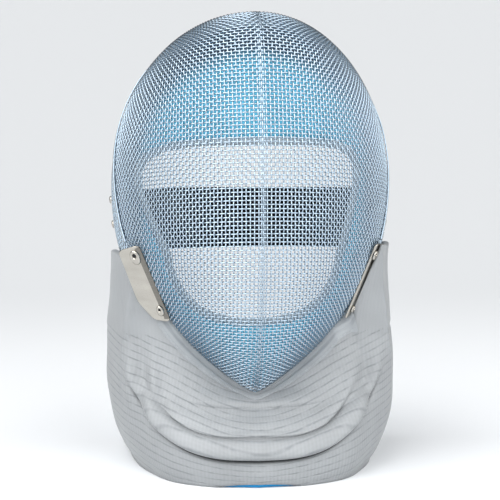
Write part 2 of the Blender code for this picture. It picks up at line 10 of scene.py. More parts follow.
import bmesh
import bpy
import numpy as np
from bpy.props import FloatProperty, FloatVectorProperty, PointerProperty
from bpy.types import Operator, Panel, PropertyGroup
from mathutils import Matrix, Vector


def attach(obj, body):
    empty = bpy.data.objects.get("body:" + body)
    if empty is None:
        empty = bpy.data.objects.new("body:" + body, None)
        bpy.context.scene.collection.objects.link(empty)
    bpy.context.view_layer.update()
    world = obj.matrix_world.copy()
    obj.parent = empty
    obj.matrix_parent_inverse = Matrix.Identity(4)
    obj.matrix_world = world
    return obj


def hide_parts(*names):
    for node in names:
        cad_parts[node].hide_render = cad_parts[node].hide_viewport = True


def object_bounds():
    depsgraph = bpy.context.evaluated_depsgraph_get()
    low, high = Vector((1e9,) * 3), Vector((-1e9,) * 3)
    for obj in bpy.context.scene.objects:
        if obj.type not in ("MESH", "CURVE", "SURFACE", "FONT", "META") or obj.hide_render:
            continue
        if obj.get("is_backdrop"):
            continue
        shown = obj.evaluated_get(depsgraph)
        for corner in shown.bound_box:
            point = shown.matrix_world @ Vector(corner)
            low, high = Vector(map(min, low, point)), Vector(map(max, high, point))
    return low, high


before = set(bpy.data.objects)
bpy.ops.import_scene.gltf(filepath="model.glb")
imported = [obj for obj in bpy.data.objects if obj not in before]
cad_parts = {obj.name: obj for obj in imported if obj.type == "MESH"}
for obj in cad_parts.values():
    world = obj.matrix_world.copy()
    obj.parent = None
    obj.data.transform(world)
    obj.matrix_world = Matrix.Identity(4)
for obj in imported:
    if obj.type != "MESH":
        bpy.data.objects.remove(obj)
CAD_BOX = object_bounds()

bl_info = {
    "name": "Fencing Mask",
    "version": (1, 0, 0),
    "blender": (4, 5, 0),
    "location": "View3D > Sidebar > Mask",
    "description": "Builds the wire, cloth, padding and fittings of a fencing mask on its CAD frame",
    "category": "Object",
}

CENTRE = np.array((0.00045, -0.0311, 0.0))

# The dome that both wire meshes follow.
CROWN_Z, WIDE_Z, CHIN_Z = 0.351, 0.214, 0.056
HALF_WIDTH, CROWN_REACH, FACE_REACH, CHIN_REACH, BACK_REACH = 0.1075, 0.062, 0.135, 0.046, 0.120
FACE_ROUNDNESS, BACK_ROUNDNESS = 1.7, 2.2
JAW_START, JAW_TAPER, CHIN_START = 2.2, 0.75, 2.7
HEART = np.array((0.0, -0.012, 0.195))  # a point inside the dome that sees all of it

# The lines that bound the two meshes.
SEAM_Z, SEAM_Y, SEAM_LEAN = 0.174, -0.040, 0.40
EDGE_Y, TUCK_Y = -0.058, -0.050
REAR_Z, REAR_Y, REAR_LEAN, REAR_LOW_Z = 0.150, 0.062, 0.05, 0.151
STRIP_WALL, RIM_WIDTH, REAR_WIDTH, STRIP_SWEEP = 0.0010, 0.0040, 0.0060, math.radians(112)
GAP, MESH_WALL, INNER_GAP = 0.0003, 0.0020, 0.0009
WIRE_DEPTH, WIRE_ROOM, WIRE_TIP_ROOM, WIRE_TIP_LEAST = 0.0010, 0.0005, 0.0003, 0.0004
LOW_WIRES, RIDGE_SHARE, RIDGE_THICKNESS, NET_MISS, NET_OPEN = 24, 0.42, 0.7, 0.08, 0.5

# The bib.
BIB_WALL, EDGE_SHARE = 0.0025, 0.5
EDGE_MIDDLE_Z, EDGE_SWEEP = 0.150, math.radians(103)
EAR_BACK_Y, EAR_STAND_OFF, EAR_DROP, EAR_DROP_RIGHT = 0.060, 0.0025, 0.0016, -0.0012
EAR_FALL, EAR_FALL_START, EAR_RISE_RIGHT = 0.0115, 0.42, 0.0055
HEM_BAND, LINING_SHOW, LINING_SHOW_HALF = 0.0025, 0.0030, 0.034
# Share, and x and y of the hem on the floor.
HEM = (
    (0.00, 0.000, -0.098),
    (0.12, 0.036, -0.091),
    (0.25, 0.0635, -0.074),
    (0.40, 0.0795, -0.046),
    (0.50, 0.088, -0.022),
    (0.70, 0.094, 0.018),
    (1.00, 0.094, 0.058),
)
RIGHT_FLARE, RIGHT_TUCK, RIGHT_SET_BACK, RIGHT_SET_OUT = 0.004, 0.005, 0.007, 0.0040
# Share, how the column leaves the top edge (x, y, drop) and how it comes to the hem (x, y, rise).
DRAPE = (
    (0.00, 0.000, -0.026, 0.012, 0.000, -0.005, 0.022),
    (0.12, 0.004, -0.018, 0.019, 0.004, -0.009, 0.026),
    (0.25, 0.011, -0.002, 0.030, 0.010, -0.013, 0.030),
    (0.40, 0.014, 0.019, 0.043, 0.023, -0.012, 0.042),
    (0.50, 0.004, 0.014, 0.046, 0.029, -0.010, 0.044),
    (0.70, -0.001, 0.002, 0.046, 0.032, -0.004, 0.042),
    (1.00, 0.002, 0.000, 0.046, 0.018, 0.002, 0.042),
)
# A fold's line lies at middle_z and has risen by left_rise or right_rise at its reach. It is at least_share or
# further down the bib. The cloth rolls out above the line, and overhangs a hollow below it.
Fold = namedtuple(
    "Fold",
    "middle_z left_rise right_rise reach power least_share roll_length roll_height hollow_depth hollow_length "
    "overhang fade_start fade_end",
)
FOLDS = (
    Fold(0.056, 0.004, 0.004, 0.046, 2.0, 0.16, 0.012, 0.0020, 0.0008, 0.0030, 0.0006, 0.030, 0.060),
    Fold(0.037, 0.0205, 0.028, 0.071, 3.6, 0.34, 0.014, 0.0030, 0.0012, 0.0032, 0.0018, 0.052, 0.084),
    Fold(0.0255, 0.032, 0.0345, 0.085, 3.3, 0.52, 0.016, 0.0072, 0.0085, 0.0036, 0.0070, 0.072, 0.102),
)
# Soft ridges and dents: x, height of the middle, half width, half height and height.
CREASES = (
    (-0.0950, 0.074, 0.0050, 0.022, 0.0024),
    (-0.0860, 0.066, 0.0045, 0.026, -0.0026),
    (-0.0770, 0.078, 0.0040, 0.018, 0.0016),
    (-0.0700, 0.064, 0.0040, 0.016, -0.0018),
    (0.0930, 0.082, 0.0060, 0.014, 0.0020),
    (0.0850, 0.070, 0.0045, 0.020, -0.0022),
    (0.0740, 0.086, 0.0060, 0.012, 0.0015),
)
# The second value on the next line says how strongly each fold's crease is painted with shade.
FOLD_SPACING, FOLD_PAINTED_SHADE, ROWS_EVEN = 0.07, (0.0, 0.2, 1.0), 0.45
# How far the hollow, the overhang and the painted crease shade reach up and down from a fold's line.
HOLLOW_ABOVE, OVERHANG_RISE, OVERHANG_LENGTH = 0.0022, 0.0028, 0.0030
PAINTED_SHADE_LENGTH, PAINTED_SHADE_SPREAD, PAINTED_SHADE_SPAN, PAINTED_SHADE_DROP, PAINTED_SHADE_OVERHANG = 0.0015, 0.0020, (0.055, 0.03), 0.0006, 0.64
TRIM_SHARE_END, TRIM_WIDTH, TRIM_WALL, TRIM_CLEAR, TRIM_LEAST_SHARE = 0.345, 0.0066, 0.0006, 0.00015, 0.12
STITCH_PITCH, STITCH_LONG, THREAD_RADIUS, THREAD_SIDES = 0.0034, 0.0022, 0.00021, 6
STITCH_HEIGHTS = (-0.00018, 0.00008, 0.00014, 0.00008, -0.00018)
EDGE_WALL, EDGE_THINNING, EDGE_ROUNDING, LINING_ROUNDING = 0.0011, 0.028, 0.0010, 0.0004
EAR_CLEAR, EAR_FILL_DOWN = 0.0004, 0.05
EAR_SEAM_Z, SEAM_STEP, SEAM_HALF, SEAM_RAISE, SEAM_DEPTH = 0.1065, 0.0015, 0.0013, 0.0004, 0.0009
# Where each change begins along the top edge, or down the bib for the waves, and how long it takes.
STAND_OFF_SPAN, EAR_DROP_SPAN = (0.44, 0.08), (0.40, 0.10)
SEAM_SPAN, THIN_END_SPAN = (0.36, 0.06), (0.43, 0.05)
COVER_SPAN, COVER_END_SPAN, RISE_SPAN, RISE_END_SPAN = (0.27, 0.06), (0.50, 0.08), (0.34, 0.10), (0.50, 0.12)
LIE_SPAN, LIE_END_SPAN, FILL_SPAN, RIGHT_FILL_SPAN = (0.30, 0.07), (0.50, 0.07), (0.43, 0.06), (0.55, 0.05)
FLARE_SPAN, FLARE_END_SPAN, TUCK_SPAN = (0.0, 0.3), (0.5, 0.4), (0.2, 0.15)
WAVES_SPAN, WAVES_END_SPAN = (0.06, 0.1), (0.93, 0.06)
LINING_WALL, LINING_SLACK, LINING_CLOSING, CREASE_SLACK, CREASE_REACH = 0.0015, 0.0045, 0.14, 0.0034, 0.012
RIB_MIDDLE, RIB_SIDE, RIB_START_Z, RIB_SAG = 0.0041, 0.0057, 0.03, 0.46
RIB_ROUND, RIB_SAG_ROUND, RIB_CENTRE_Y, RIB_SPREAD = 0.095, 0.045, 0.02, 0.07

# The padding ring and the strap.
PAD_MIDDLE_Z, PAD_REACH, PAD_CURVE, PAD_HALF_THICK = 0.192, 0.058, 3.2, 0.0085
PAD_TOP, PAD_BOTTOM, PAD_SIDE = 0.150, 0.124, 0.112
PAD_FACE_RADIUS, PAD_FACE_MIDDLE, PAD_FACE_HALF = 0.086, 0.235, 0.084
OPENING_UP, OPENING_DOWN, OPENING_HALF = 0.060, 0.070, 0.0685
OPENING_TAPER, TAPER_END, OPENING_SQUARE_UP, OPENING_SQUARE_DOWN = 0.24, -0.022, 4.5, 2.7
OPENING_LEFT_HALF, OPENING_LEFT_TAPER, OPENING_LEFT_SQUARE = 0.0735, 0.44, 3.3
BINDING_RADIUS = 0.0030
PAD_SQUARE_ACROSS, PAD_SQUARE_THICK, PAD_INSET, PAD_SHRINK = 0.62, 0.72, 0.985, 0.0016
STRAP_WALL, STRAP_LOW_Z, STRAP_HIGH_Z = 0.0018, 0.157, 0.207
STRAP_END_Y, STRAP_EDGE_Y, STRAP_BACK_Y, STRAP_SPAN = 0.040, 0.060, 0.074, 0.72

# The ear brackets and their rivets.
BRACKET_WALL, BRACKET_CORNER, PLATE_BEVEL, PLATE_FRONT = 0.0012, 0.004, 0.00042, 0.0006
BRACKET_TOP_Z, BRACKET_LOW_Z, BRACKET_TOP_HALF, BRACKET_LOW_HALF = 0.179, 0.120, 0.0885, 0.0640
# Name, side, turn of the plate from facing ahead in degrees, distance out and radius of the upper eyelet.
BRACKETS = (
    ("left", -1, 30, 0.0068, 0.0040),
    ("right", 1, 57, 0.0030, 0.0027),
)
# Corners of each plate: share of its length, distance along and distance across.
PLATE_CORNERS = {
    "left": (
        (0, 0.0, -0.0050),
        (0, -0.0004, 0.0134),
        (0.64, 0.0, 0.0150),
        (0.90, 0.0, 0.0078),
        (0.985, 0.0, -0.0048),
    ),
    "right": (
        (0, 0.0, 0.0),
        (0, -0.0008, 0.0175),
        (0.64, 0.0, 0.0164),
        (0.90, 0.0, 0.0085),
        (0.985, 0.0, 0.0),
    ),
}
# Width of the band bent down along the plate's front edge, and its drop.
PLATE_BENDS = {"left": (0.0036, 0.0015), "right": (0.0012, 0.0005)}
# Share of the plate's length, distance along it and distance across it, for the upper and the lower eyelet.
EYELET_PLACES = {
    "left": ((0, 0.0068, 0.0006), (0.805, 0.0, -0.0012)),
    "right": ((0, 0.0078, 0.0034), (0.82, 0.0, 0.0044)),
}
EYELET_HOLE, EYELET_HEIGHT, EYELET_LOW_SHARE, EYELET_LEAN = 0.0015, 0.0015, 0.72, 0.0014
RIVET_HOLE = 0.0009
RIGHT_COVER = 0.0054  # how much of the right plate's width the cloth leaves bare
# Name, height and y of the rivets on each side.
SIDE_RIVETS = (("upper", 0.205, 0.004), ("lower", 0.186, 0.004))
SIDE_RIVET_RADIUS, SIDE_RIVET_HEIGHT = 0.0030, 0.0016
FLOOR_REACH, LOOK_Z = 60.0, 0.1652


# ---------------------------------------------------------------- colours and nodes


def linear(hex_code):
    """An sRGB hex value as linear red, green and blue."""
    values = [int(hex_code[i : i + 2], 16) / 255 for i in (0, 2, 4)]
    return tuple(v / 12.92 if v <= 0.04045 else ((v + 0.055) / 1.055) ** 2.4 for v in values)


def shade(colour, share):
    """A colour made darker, down to a share of itself."""
    return tuple(c * share for c in colour)


def add_node(tree, kind, settings=(), links=()):
    """A new shader node. settings holds properties and inputs, links joins inputs to (node, output)."""
    node = tree.nodes.new("ShaderNode" + kind)
    for name, value in dict(settings).items():
        if hasattr(node, str(name)):
            setattr(node, name, value)
        else:
            node.inputs[name].default_value = value
    for name, (source, output) in dict(links).items():
        tree.links.new(source.outputs[output], node.inputs[name])
    return node


def piece_place(tree, kind="Object"):
    """Where a point lies on its piece, in metres or, with the kind UV, by its UV."""
    return add_node(tree, "TexCoord"), kind


def work_out(tree, operation, *values):
    """A math node over values, each of them a number or a (node, output)."""
    numbers = {place: value for place, value in enumerate(values) if not isinstance(value, tuple)}
    sources = {place: value for place, value in enumerate(values) if isinstance(value, tuple)}
    return add_node(tree, "Math", {"operation": operation, **numbers}, sources), "Value"


def ripple(tree, value, pitch):
    """A sine wave along a value, one wave for each pitch."""
    return work_out(tree, "SINE", work_out(tree, "MULTIPLY", value, 2 * math.pi / pitch))


def noise(tree, place, scale, detail=2.0):
    """Soft noise over a place, from 0 to 1."""
    return add_node(tree, "TexNoise", {"Scale": scale, "Detail": detail}, {"Vector": place}), "Fac"


def map_range(tree, value, to_low, to_high, from_low=0.0, from_high=1.0, kind="LINEAR"):
    """A value carried from one range over to another."""
    settings = {"interpolation_type": kind, "From Min": from_low, "From Max": from_high}
    settings |= {"To Min": to_low, "To Max": to_high}
    return add_node(tree, "MapRange", settings, {"Value": value}), "Result"


def colour_ramp(tree, value, dark, light, ends=(0.0, 1.0)):
    """A colour that goes from dark to light while the value goes between the ends."""
    node = add_node(tree, "ValToRGB", (), {"Fac": value})
    for element, end, colour in zip(node.color_ramp.elements, ends, (dark, light)):
        element.position = end
        element.color = (*colour, 1)
    return node, "Color"


def dress_shader(tree, shader, sources, bump=None):
    """Joins sources to the shader's inputs, and a bump of (height, strength, distance) to its normal."""
    if bump:
        height, strength, distance = bump
        relief = add_node(tree, "Bump", {"Strength": strength, "Distance": distance}, {"Height": height})
        sources = {**sources, "Normal": (relief, "Normal")}
    for socket, (source, output) in sources.items():
        tree.links.new(source.outputs[output], shader.inputs[socket])


def new_material(name, settings):
    """A material with its shader's constant settings, and its tree and shader."""
    material = bpy.data.materials.new(name)
    material.use_nodes = True
    tree = material.node_tree
    shader = tree.nodes["Principled BSDF"]
    for socket, value in settings.items():
        shader.inputs[socket].default_value = value
    return material, tree, shader


# ---------------------------------------------------------------- the dome


def dome_section(z):
    """The plan section at each height: half width, y of its middle, and reach to the front and back."""
    up = np.clip((z - WIDE_Z) / (CROWN_Z - WIDE_Z), 0, 1)
    down = np.clip((WIDE_Z - z) / (WIDE_Z - CHIN_Z), 0, 1)
    rounding = np.sqrt(1 - up * up)
    half = HALF_WIDTH * rounding * (1 - down**JAW_START) ** JAW_TAPER
    front = FACE_REACH * rounding - (FACE_REACH - CHIN_REACH) * down**CHIN_START
    return half, -CROWN_REACH * (1 - rounding), front, BACK_REACH * rounding


def dome_level(p):
    """Under 1 inside the dome, 1 on it and over 1 outside."""
    half, middle, front, back = dome_section(p[..., 2])
    ahead = middle - p[..., 1]
    power = np.where(ahead > 0, FACE_ROUNDNESS, BACK_ROUNDNESS)
    reach = np.maximum(np.where(ahead > 0, front, back), 1e-9)
    level = (np.abs(p[..., 0]) / np.maximum(half, 1e-9)) ** power + (np.abs(ahead) / reach) ** power
    return np.where((p[..., 2] > CHIN_Z) & (p[..., 2] < CROWN_Z), level, 2.0)


def dome_growth(p):
    """How many times wider the dome's section would have to be to pass through a point."""
    ahead = dome_section(p[..., 2])[1] - p[..., 1]
    return dome_level(p) ** (1 / np.where(ahead > 0, FACE_ROUNDNESS, BACK_ROUNDNESS))


def dome_normal(p):
    """Directions straight out of the dome, at or near its surface."""
    step = 2e-4
    slopes = [dome_growth(p + step * axis) - dome_growth(p - step * axis) for axis in np.eye(3)]
    return unit(np.stack(slopes, -1))


def unit(v):
    """Vectors of length 1."""
    return v / np.maximum(np.linalg.norm(v, axis=-1, keepdims=True), 1e-12)


def last_inside(is_inside, near, far, steps):
    """The furthest distances that are still inside, found by halving the range from near to far."""
    for _ in range(steps):
        middle = (near + far) / 2
        inside = is_inside(middle)
        near, far = np.where(inside, middle, near), np.where(inside, far, middle)
    return near


def reach_dome(start, direction, near=0.0, far=0.4, steps=34):
    """How far along each direction a start inside the dome lies from it."""
    start, direction = np.broadcast_arrays(np.asarray(start, float), np.asarray(direction, float))
    near, far = np.full(start.shape[:-1], near), np.full(start.shape[:-1], far)
    return last_inside(lambda reach: dome_level(start + direction * reach[..., None]) < 1, near, far, steps)


def to_dome(start, direction, out=0.0):
    """Points where directions from a start meet the dome, moved out along its normals."""
    point = start + direction * reach_dome(start, direction)[..., None]
    return point + dome_normal(point) * np.asarray(out)[..., None] if np.any(out) else point


def seam_y(z):
    """Where the joint of the two meshes lies, at each height."""
    return SEAM_Y + SEAM_LEAN * (z - SEAM_Z)


def rear_y(z):
    """Where the back edge of the rear mesh lies, at each height."""
    return REAR_Y + REAR_LEAN * (z - REAR_Z)


def ease(share):
    """Goes smoothly from 0 to 1 while share does."""
    share = np.clip(share, 0, 1)
    return share * share * (3 - 2 * share)


def ease_over(value, span):
    """Eases from 0 to 1 over a span, given as its start and its length."""
    start, length = span
    return ease((value - start) / length)


def read_table(table, column, at):
    """The column's values along the table's first column, on a smooth curve through the rows."""
    rows = np.array(table)
    x, y = rows[:, 0], rows[:, column]
    slope = np.gradient(y, x)
    slope[1:-1] = (y[2:] - y[:-2]) / (x[2:] - x[:-2])
    at = np.clip(at, x[0], x[-1])
    low = np.clip(np.searchsorted(x, at, side="right") - 1, 0, len(x) - 2)
    span = x[low + 1] - x[low]
    s = (at - x[low]) / span
    start = y[low] * (1 + 2 * s) * (1 - s) ** 2 + slope[low] * span * s * (1 - s) ** 2
    return start + y[low + 1] * s**2 * (3 - 2 * s) + slope[low + 1] * span * s**2 * (s - 1)


# ---------------------------------------------------------------- making pieces


def add_piece(name, points, faces, materials, replaces=(), uv=None, marks=None, sharp=None, painted_shade=None):
    """A mesh that rides on the part. points are in the model's frame, uv and the painted crease shade are for
    each point.
    """
    mesh = bpy.data.meshes.new(name)
    mesh.from_pydata((np.asarray(points).reshape(-1, 3) - CENTRE).tolist(), [], faces)
    for material in materials:
        mesh.materials.append(material)
    if marks is not None:
        mesh.polygons.foreach_set("material_index", np.asarray(marks, np.int32))
    if uv is not None:
        corner = np.empty(len(mesh.loops), np.int32)
        mesh.loops.foreach_get("vertex_index", corner)
        layer = mesh.uv_layers.new(name="cloth")
        layer.data.foreach_set("uv", np.asarray(uv, np.float32).reshape(-1, 2)[corner].ravel())
    if painted_shade is not None:
        layer = mesh.attributes.new("painted_shade", "FLOAT", "POINT")
        layer.data.foreach_set("value", np.asarray(painted_shade, np.float32).ravel())
    mesh.update()
    piece = bpy.data.objects.new(name, mesh)
    bpy.context.scene.collection.objects.link(piece)
    face_outwards(mesh)
    mesh.shade_smooth()
    if sharp is not None:
        mesh.set_sharp_from_angle(angle=math.radians(sharp))
    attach(piece, "root")
    if replaces:
        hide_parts(*replaces)
    return piece


def face_outwards(mesh):
    """Turns a closed mesh's faces out."""
    build = bmesh.new()
    build.from_mesh(mesh)
    if build.calc_volume(signed=True) < 0:
        bmesh.ops.reverse_faces(build, faces=build.faces)
        build.to_mesh(mesh)
    build.free()


def ring_faces(count, sides, start=0, ends=True):
    """The quads of a tube of count rings, and its two end faces."""
    i = np.arange(count - 1)[:, None] * sides + start
    k = np.arange(sides)[None, :]
    following = (k + 1) % sides
    quads = np.stack([i + k, i + following, i + sides + following, i + sides + k], -1)
    faces = quads.reshape(-1, 4).tolist()
    if ends:
        faces.append([start + n for n in reversed(range(sides))])
        faces.append([start + (count - 1) * sides + n for n in range(sides)])
    return faces


def tube_rings(path, normal, radius, sides):
    """Rings of points round a path. normal fixes how the rings are turned."""
    along = unit(np.gradient(path, axis=0))
    side = unit(np.cross(along, normal))
    outwards = np.cross(side, along)
    turn = np.arange(sides) * 2 * math.pi / sides
    spokes = np.cos(turn)[:, None] * outwards[:, None] + np.sin(turn)[:, None] * side[:, None]
    return path[:, None] + spokes * radius


def sleeve(loops):
    """The faces over closed loops of points, one loop for each column, closed flat at both ends."""
    columns, around = loops.shape[:2]
    faces = ring_faces(columns, around, ends=False)
    for base in (0, (columns - 1) * around):
        for k in range(around // 2 - 1):
            far = around - 1 - k
            quad = [base + k, base + k + 1, base + far - 1, base + far]
            faces.append(quad if base else quad[::-1])
    return faces


def torus_faces(columns, around):
    """The quads over closed loops of points that follow each other round a ring."""
    total = columns * around
    return [[n % total for n in quad] for quad in ring_faces(columns + 1, around, ends=False)]


def length_travelled(line):
    """How far along a line each of its points lies."""
    return np.concatenate([[0], np.cumsum(np.linalg.norm(np.diff(line, axis=0), axis=1))])


# ---------------------------------------------------------------- the wire meshes


def walk_line(line, pitch, count):
    """Points a pitch apart along a fine line."""
    found, k = [line[0]], 0
    for _ in range(count):
        while k < len(line) - 1 and np.linalg.norm(line[k + 1] - found[-1]) < pitch:
            k += 1
        if k >= len(line) - 1:
            break
        near, far = (np.linalg.norm(line[n] - found[-1]) for n in (k, k + 1))
        found.append(line[k] + (line[k + 1] - line[k]) * (pitch - near) / (far - near))
    return np.array(found)


def cut_line(origin, first, then, pitch, count):
    """Points a pitch apart on the dome, in the plane through origin, turning from one direction to another."""
    turn = np.arange(0, 3.0, 0.002)[:, None]
    rays = np.cos(turn) * first + np.sin(turn) * then
    return walk_line(to_dome(origin, rays), pitch, count)


def drape_net(first, second, step_first, step_second):
    """The crossings of a net of wires laid over a quarter of the dome from its two edge wires."""
    net = np.full((len(first), len(second), 3), np.nan)
    net[:, 0], net[0, :] = first, second
    for total in range(2, len(first) + len(second) - 1):
        i = np.arange(max(1, total - len(second) + 1), min(len(first) - 1, total - 1) + 1)
        j = total - i
        a, b, corner = net[i - 1, j], net[i, j - 1], net[i - 1, j - 1]
        known = np.isfinite(a + b + corner).all(1)
        if not known.any():
            continue
        i, j, a, b, corner = i[known], j[known], a[known], b[known], corner[known]
        guess = pull_to_dome(a + b - corner, 0.85, 1.15, 22)
        for _ in range(5):
            # Each crossing is moved until it lies one step from both of its neighbours.
            long_a = np.linalg.norm(guess - a, axis=1)
            long_b = np.linalg.norm(guess - b, axis=1)
            to_a = (guess - a) / long_a[:, None]
            to_b = (guess - b) / long_b[:, None]
            dot = (to_a * to_b).sum(1)
            miss_a = step_first - long_a
            miss_b = step_second - long_b
            spread = np.maximum(1 - dot * dot, 0.02)
            move_a = (miss_a - dot * miss_b) / spread
            move_b = (miss_b - dot * miss_a) / spread
            moved = guess + to_a * move_a[:, None] + to_b * move_b[:, None]
            guess = pull_to_dome(moved, 0.97, 1.03, 16)
        off = np.abs(np.linalg.norm(guess - a, axis=1) / step_first - 1)
        off = np.maximum(off, np.abs(np.linalg.norm(guess - b, axis=1) / step_second - 1))
        # A crossing that misses its step, or folds back over the last one, is left out.
        good = (off < NET_MISS) & (np.linalg.norm(guess - corner, axis=1) > NET_OPEN * step_second)
        net[i[good], j[good]] = guess[good]
    return net


def pull_to_dome(points, low, high, steps):
    """Moves points along their rays from the heart of the dome on to it."""
    ray = points - HEART
    return HEART + ray * reach_dome(HEART, ray, low, high, steps)[..., None]


def whole_net(up, down, across, step_up, step_across):
    """A net over both sides, from the wire down its middle and the wire across the right half."""
    upper, lower = (drape_net(line, across, step_up, step_across) for line in (up, down))
    half = np.concatenate([lower[:0:-1], upper])
    mirrored = half[:, :0:-1] * (-1, 1, 1)
    return np.concatenate([mirrored, half], 1)


def front_room(p):
    """How far a point lies inside the front mesh's border, in metres."""
    seam = (seam_y(p[..., 2]) - p[..., 1]) / math.hypot(1, SEAM_LEAN)
    return np.maximum(seam, TUCK_Y - p[..., 1])


def rear_room(p):
    """How far a point lies inside the rear mesh's border, in metres."""
    front = (p[..., 1] - seam_y(p[..., 2])) / math.hypot(1, SEAM_LEAN)
    return np.minimum(np.minimum(front, rear_y(p[..., 2]) - p[..., 1]), p[..., 2] - REAR_LOW_Z)


def wire_runs(line, room, lift, normal):
    """The path of one wire, cut where it leaves the mesh: nodes and the points halfway between them."""
    inside = np.isfinite(line[:, 0]) & (room > WIRE_ROOM)
    edges = np.flatnonzero(np.diff(np.concatenate([[0], inside.astype(int), [0]])))
    axis = line - normal * WIRE_DEPTH
    for start, end in zip(edges[::2], edges[1::2]):
        if end - start < 2:
            continue
        nodes = axis[start:end] + normal[start:end] * lift[start:end, None]
        path = np.empty((2 * len(nodes) - 1, 3))
        path[::2] = nodes
        path[1::2] = (axis[start : end - 1] + axis[start + 1 : end]) / 2
        facing = np.repeat(normal[start:end], 2, axis=0)[:-1]
        for edge, beyond, first in ((start, start - 1, True), (end - 1, end, False)):
            if not 0 <= beyond < len(line) or not np.isfinite(line[beyond, 0]):
                continue
            share = (room[edge] - WIRE_TIP_ROOM) / max(room[edge] - room[beyond], 1e-6)
            tip = axis[edge] + (axis[beyond] - axis[edge]) * min(share, 0.95)
            if np.linalg.norm(tip - axis[edge]) < WIRE_TIP_LEAST:
                continue
            path = np.concatenate([[tip], path] if first else [path, [tip]])
            facing = np.concatenate([facing[:1], facing] if first else [facing, facing[-1:]])
        yield path, facing


def make_wires(name, net, room_of, along, keep, sides, settings, material, replaces=(), thick=1.0):
    """One piece of the wires that run along a net's rows (0) or its columns (1). keep says which of them."""
    room = np.where(np.isfinite(net[..., 0]), room_of(np.nan_to_num(net)), -1.0)
    normal = dome_normal(np.nan_to_num(net, nan=0.2))
    parity = 1 - 2 * (np.add.outer(np.arange(net.shape[0]), np.arange(net.shape[1])) % 2)
    crimp = settings.warp_crimp if along == 0 else settings.warp_crimp - settings.wire
    lift = parity * crimp
    points, faces, total = [], [], 0
    for k in filter(keep, range(net.shape[1 - along])):
        pick = (slice(None), k) if along == 0 else (k, slice(None))
        for path, facing in wire_runs(net[pick], room[pick], lift[pick], normal[pick]):
            rings = tube_rings(path, facing, thick * settings.wire / 2, sides)
            faces += ring_faces(len(rings), sides, total)
            points.append(rings.reshape(-1, 3))
            total += len(rings) * sides
    return add_piece(name, np.concatenate(points), faces, [material], replaces)


def steel_wire(settings):
    """Stainless steel wire, drawn and woven: bright overs that catch the light, and grey flanks."""
    material, tree, shader = new_material("stainless_steel_drawn_wire", {"Metallic": 1.0})
    grain = noise(tree, piece_place(tree), 900.0)
    tone = colour_ramp(tree, grain, shade(settings.steel, 0.82), settings.steel)
    dress_shader(tree, shader, {"Base Color": tone, "Roughness": map_range(tree, grain, 0.14, 0.26)})
    return material


class MASK_OT_wire_front(Operator):
    """Weave the front wire mesh over the face"""

    bl_idname = "mask.wire_front"
    bl_label = "Front Wire Mesh"

    def execute(self, context):
        settings = context.scene.mask_wire
        nose = np.array((0.0, -dome_section(np.array(settings.nose_height))[2], settings.nose_height))
        behind = np.array((0, math.cos(settings.nose_tilt), -math.sin(settings.nose_tilt)))
        heart = nose + behind * abs(nose[1])
        across = cut_line(heart, -behind, np.array((1.0, 0, 0)), settings.warp_pitch, 90)
        root = np.array((0, -0.02, settings.nose_height))
        ahead = unit(nose - root)
        up, down = (
            cut_line(root, ahead, np.array((0, 0, way)), settings.weft_pitch, count)
            for way, count in ((1.0, 110), (-1.0, 60))
        )
        net = whole_net(up, down, across, settings.weft_pitch, settings.warp_pitch)
        middle, level = net.shape[1] // 2, len(down) - 1 + LOW_WIRES
        # The mesh is pinched along its ridge, where two more upright wires lie close beside the middle one.
        beside = [net[:, middle] + RIDGE_SHARE * (net[:, middle + way] - net[:, middle]) for way in (-1, 1)]
        known = np.isfinite(beside[0]) & np.isfinite(beside[1])
        ridge = np.stack([pull_to_dome(line, 0.9, 1.1, 24) for line in beside], 1)
        ridge = np.where(known[:, None], ridge, np.nan)
        material = steel_wire(settings)
        for name, wires, along, keep, replaces, thick in (
            ("upright_left", net, 0, lambda k: k < middle, ("front_mesh",), 1.0),
            ("upright_right", net, 0, lambda k: k >= middle, (), 1.0),
            ("ridge", ridge, 0, lambda k: True, (), RIDGE_THICKNESS),
            ("across_low", net, 1, lambda k: k < level, (), 1.0),
            ("across_high", net, 1, lambda k: k >= level, (), 1.0),
        ):
            piece = "front_wires_" + name
            make_wires(piece, wires, front_room, along, keep, 6, settings, material, replaces, thick)
        return {"FINISHED"}


class MASK_OT_wire_rear(Operator):
    """Weave the rear wire mesh from ear to ear over the crown"""

    bl_idname = "mask.wire_rear"
    bl_label = "Rear Wire Mesh"

    def execute(self, context):
        settings = context.scene.mask_wire
        lean = (SEAM_LEAN + REAR_LEAN) / 2
        root = np.array((0, (seam_y(WIDE_Z) + rear_y(WIDE_Z)) / 2, WIDE_Z))
        upwards = unit(np.array((0, lean, 1.0)))
        arch = cut_line(root, upwards, np.array((1.0, 0, 0)), settings.weft_pitch, 110)
        to_front, to_back = (
            cut_line(np.array((0, root[1], WIDE_Z)), upwards, np.array((0, way, 0)), settings.warp_pitch, 30)
            for way in (-1.0, 1.0)
        )
        net = whole_net(to_front, to_back, arch, settings.warp_pitch, settings.weft_pitch)
        material = steel_wire(settings)
        for name, along, replaces in (("arched", 1, ("rear_mesh",)), ("crossing", 0, ())):
            piece = "rear_wires_" + name
            make_wires(piece, net, rear_room, along, lambda k: True, 5, settings, material, replaces)
        return {"FINISHED"}


# ---------------------------------------------------------------- steel fittings


def polished_steel(name, colour, streaks):
    """Stainless steel sheet, stamped and polished: soft mirror-like reflections with faint rolling streaks."""
    material, tree, shader = new_material(name, {"Metallic": 1.0})
    stretched = add_node(tree, "Mapping", {"Scale": streaks}, {"Vector": piece_place(tree)})
    grain = noise(tree, (stretched, "Vector"), 1.0, 4.0)
    tone = colour_ramp(tree, grain, shade(colour, 0.84), colour, (0.3, 0.7))
    rough = map_range(tree, grain, 0.12, 0.26)
    dress_shader(tree, shader, {"Base Color": tone, "Roughness": rough}, (grain, 0.12, 0.0002))
    return material


